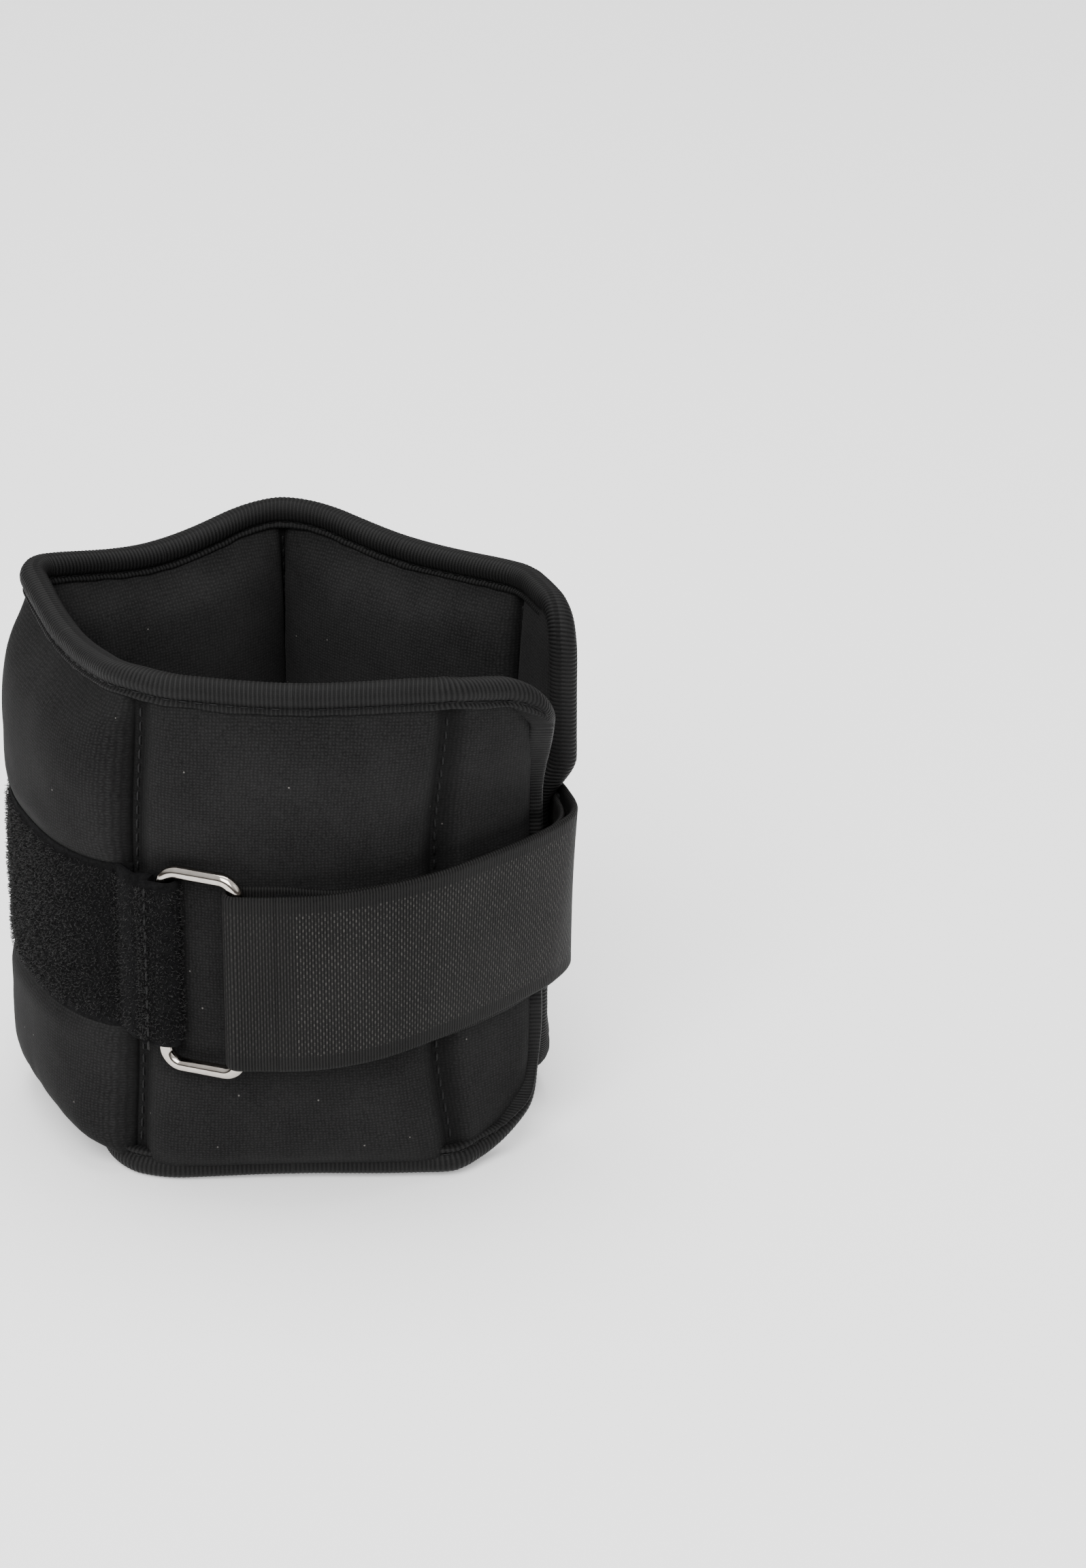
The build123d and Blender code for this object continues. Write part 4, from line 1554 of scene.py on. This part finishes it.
def make_root_stitches():
    """A sewn box that holds the strap's root to the right flap."""
    panel = panels["right_flap"]
    out, along = level_direction(panel.out), level_direction(panel.along)
    lift = UNDER_OFFSET + STRAP_THICK / 2 + 0.1
    middle = STRAP_MIDDLE + strap_pose([root_end])[1][0]
    pitch = STITCH_LENGTH + STITCH_GAP
    places = [(x, z, UP) for x in (ROOT_START + 1.6, ROOT_START + 7.5) for z in np.arange(-17.0, 17.1, pitch)]
    places += [(x, z, along) for z in (-18.4, 18.4)
               for x in np.arange(ROOT_START + 2.6, ROOT_START + 7.0, pitch)]
    spots = [(panel.place(x, lift, middle + z) / MM, direction, out) for x, z, direction in places]
    piece = stitch_mesh("strap_root_stitches", spots)
    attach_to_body(piece, "right_flap")
    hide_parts("strap_stitching")


def make_tab_stitches():
    """The stitch line that closes the tab beside the ring's bar."""
    base = pivot + ring_out * (TAB_RADIUS + 0.75) - ring_side * 2.6
    spots = [(np.array([*base, STRAP_MIDDLE + z]), UP, level_direction(ring_out))
             for z in np.arange(-17.6, 17.7, STITCH_LENGTH + STITCH_GAP)]
    piece = stitch_mesh("tab_stitches", spots, radius=0.3)
    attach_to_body(piece, "front")
    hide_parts("tab_stitching")


for index, tape_panel in enumerate(POCKETS[1:]):
    make_loop_tape(tape_panel, 20.0 + 10 * index)
for index, (before, after) in enumerate(zip(PANEL_NAMES[2:], PANEL_NAMES[3:])):
    make_seam_bridge(before, after, 60.0 + index)
make_tab()
make_tab_bridge()
make_flap_tape()
make_root_stitches()
make_tab_stitches()


# ---- ring ----
def make_ring():
    """A rounded rectangle of bright wire."""
    side = level_direction(ring_side)
    centre = np.array([*(pivot + ring_side * RING_WIDTH / 2), STRAP_MIDDLE])
    half_w, half_h = RING_WIDTH / 2 - RING_CORNER, RING_HEIGHT / 2 - RING_CORNER
    across = np.cross(side, UP)
    around = 20
    rings = []
    for corner, (sx, sz) in enumerate(((1, 1), (-1, 1), (-1, -1), (1, -1))):
        for turn in np.linspace(0, 90, 13):
            angle = math.radians(corner * 90 + turn)
            outward = side * math.cos(angle) + UP * math.sin(angle)
            middle = centre + side * (sx * half_w) + UP * (sz * half_h) + outward * RING_CORNER
            rings.append([middle + (outward * math.cos(a) + across * math.sin(a)) * WIRE_RADIUS
                          for a in np.linspace(0, 2 * math.pi, around, endpoint=False)])
    last = (len(rings) - 1) * around
    faces = grid_faces(len(rings), around, closed=True)
    for k in range(around):
        j = (k + 1) % around
        faces.append((last + k, last + j, j, k))
    piece = mesh_object("ring_wire", np.array(rings).reshape(-1, 3) * MM, faces, None, NICKEL)
    weld(piece)
    refine(piece)
    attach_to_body(piece, "ring")
    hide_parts("ring")


make_ring()

# ---- CAD nodes that keep their shape ----
for node_name, node in frame["nodes"].items():
    for ending, material in (("weight_pouch", FILM), ("iron_sand", GRIT)):
        if node_name.endswith(ending):
            node.data.materials.clear()
            node.data.materials.append(material)


# ---- floor, light and camera ----
FLOOR_HALF = 4.0
# Colours of the studio from straight below to straight above: warm below, dim at eye level, bright overhead.
STUDIO = ((0.0, (0.5, 0.45, 0.4)), (0.47, (0.12, 0.10, 0.09)), (0.6, (0.10, 0.095, 0.09)),
          (0.72, grey(0.85)), (1.0, grey(1.1)))
# Each light's place, size and power.
LIGHTS = {"key_light": ((-0.3, -1.3, 1.3), 1.1, 40), "fill_light": ((1.1, -0.8, 0.8), 0.8, 1.5),
          "top_light": ((0.0, 0.3, 1.5), 1.0, 20)}
LIGHT_TARGET = (0.0, 0.0, 0.06)
CAMERA_PLACE = (0.0519, -1.1113, 0.5794)
CAMERA_PITCH = 24.5
CAMERA_LENS = 131.2


def make_floor():
    """A pale floor that glows a little, so that it meets the pale room without an edge."""
    mesh = bpy.data.meshes.new("floor")
    outline = [(x * FLOOR_HALF, y * FLOOR_HALF, 0) for x, y in ((-1, -1), (1, -1), (1, 1), (-1, 1))]
    mesh.from_pydata(outline, [], [(0, 1, 2, 3)])
    mesh.materials.append(Shader("pale_floor").set(Base_Color=grey(0.96), Roughness=0.95,
                                                   Emission_Color=grey(1.0), Emission_Strength=0.34))
    add_to_scene("floor", mesh)


def make_world():
    """A pale studio whose uneven light gives the nickel something to show."""
    world = bpy.data.worlds.new("studio")
    world.use_nodes = True
    tree = world.node_tree
    place, split, scale, ramp = [tree.nodes.new("ShaderNode" + kind)
                                 for kind in ("TexCoord", "SeparateXYZ", "Math", "ValToRGB")]
    scale.operation = "MULTIPLY_ADD"
    scale.inputs[1].default_value = 0.5
    scale.inputs[2].default_value = 0.5
    fill_ramp(ramp.color_ramp, STUDIO)
    tree.links.new(place.outputs["Generated"], split.inputs[0])
    tree.links.new(split.outputs[2], scale.inputs[0])
    tree.links.new(scale.outputs[0], ramp.inputs[0])
    tree.links.new(ramp.outputs[0], tree.nodes["Background"].inputs[0])
    bpy.context.scene.world = world


def make_light(name, place, size, power):
    """A square lamp aimed at the cuff."""
    data = bpy.data.lights.new(name, "AREA")
    data.shape = "RECTANGLE"
    data.size = size
    data.size_y = size
    data.energy = power
    light = add_to_scene(name, data)
    light.location = place
    light.rotation_euler = (Vector(LIGHT_TARGET) - Vector(place)).to_track_quat("-Z", "Y").to_euler()


def make_camera():
    """The photo's view."""
    data = bpy.data.cameras.new("camera")
    data.lens = CAMERA_LENS
    data.sensor_width = 36.0
    camera = add_to_scene("camera", data)
    camera.location = CAMERA_PLACE
    camera.rotation_euler = (math.radians(90 - CAMERA_PITCH), 0, 0)
    bpy.context.scene.camera = camera


make_floor()
make_world()
for light_name, light_values in LIGHTS.items():
    make_light(light_name, *light_values)
make_camera()
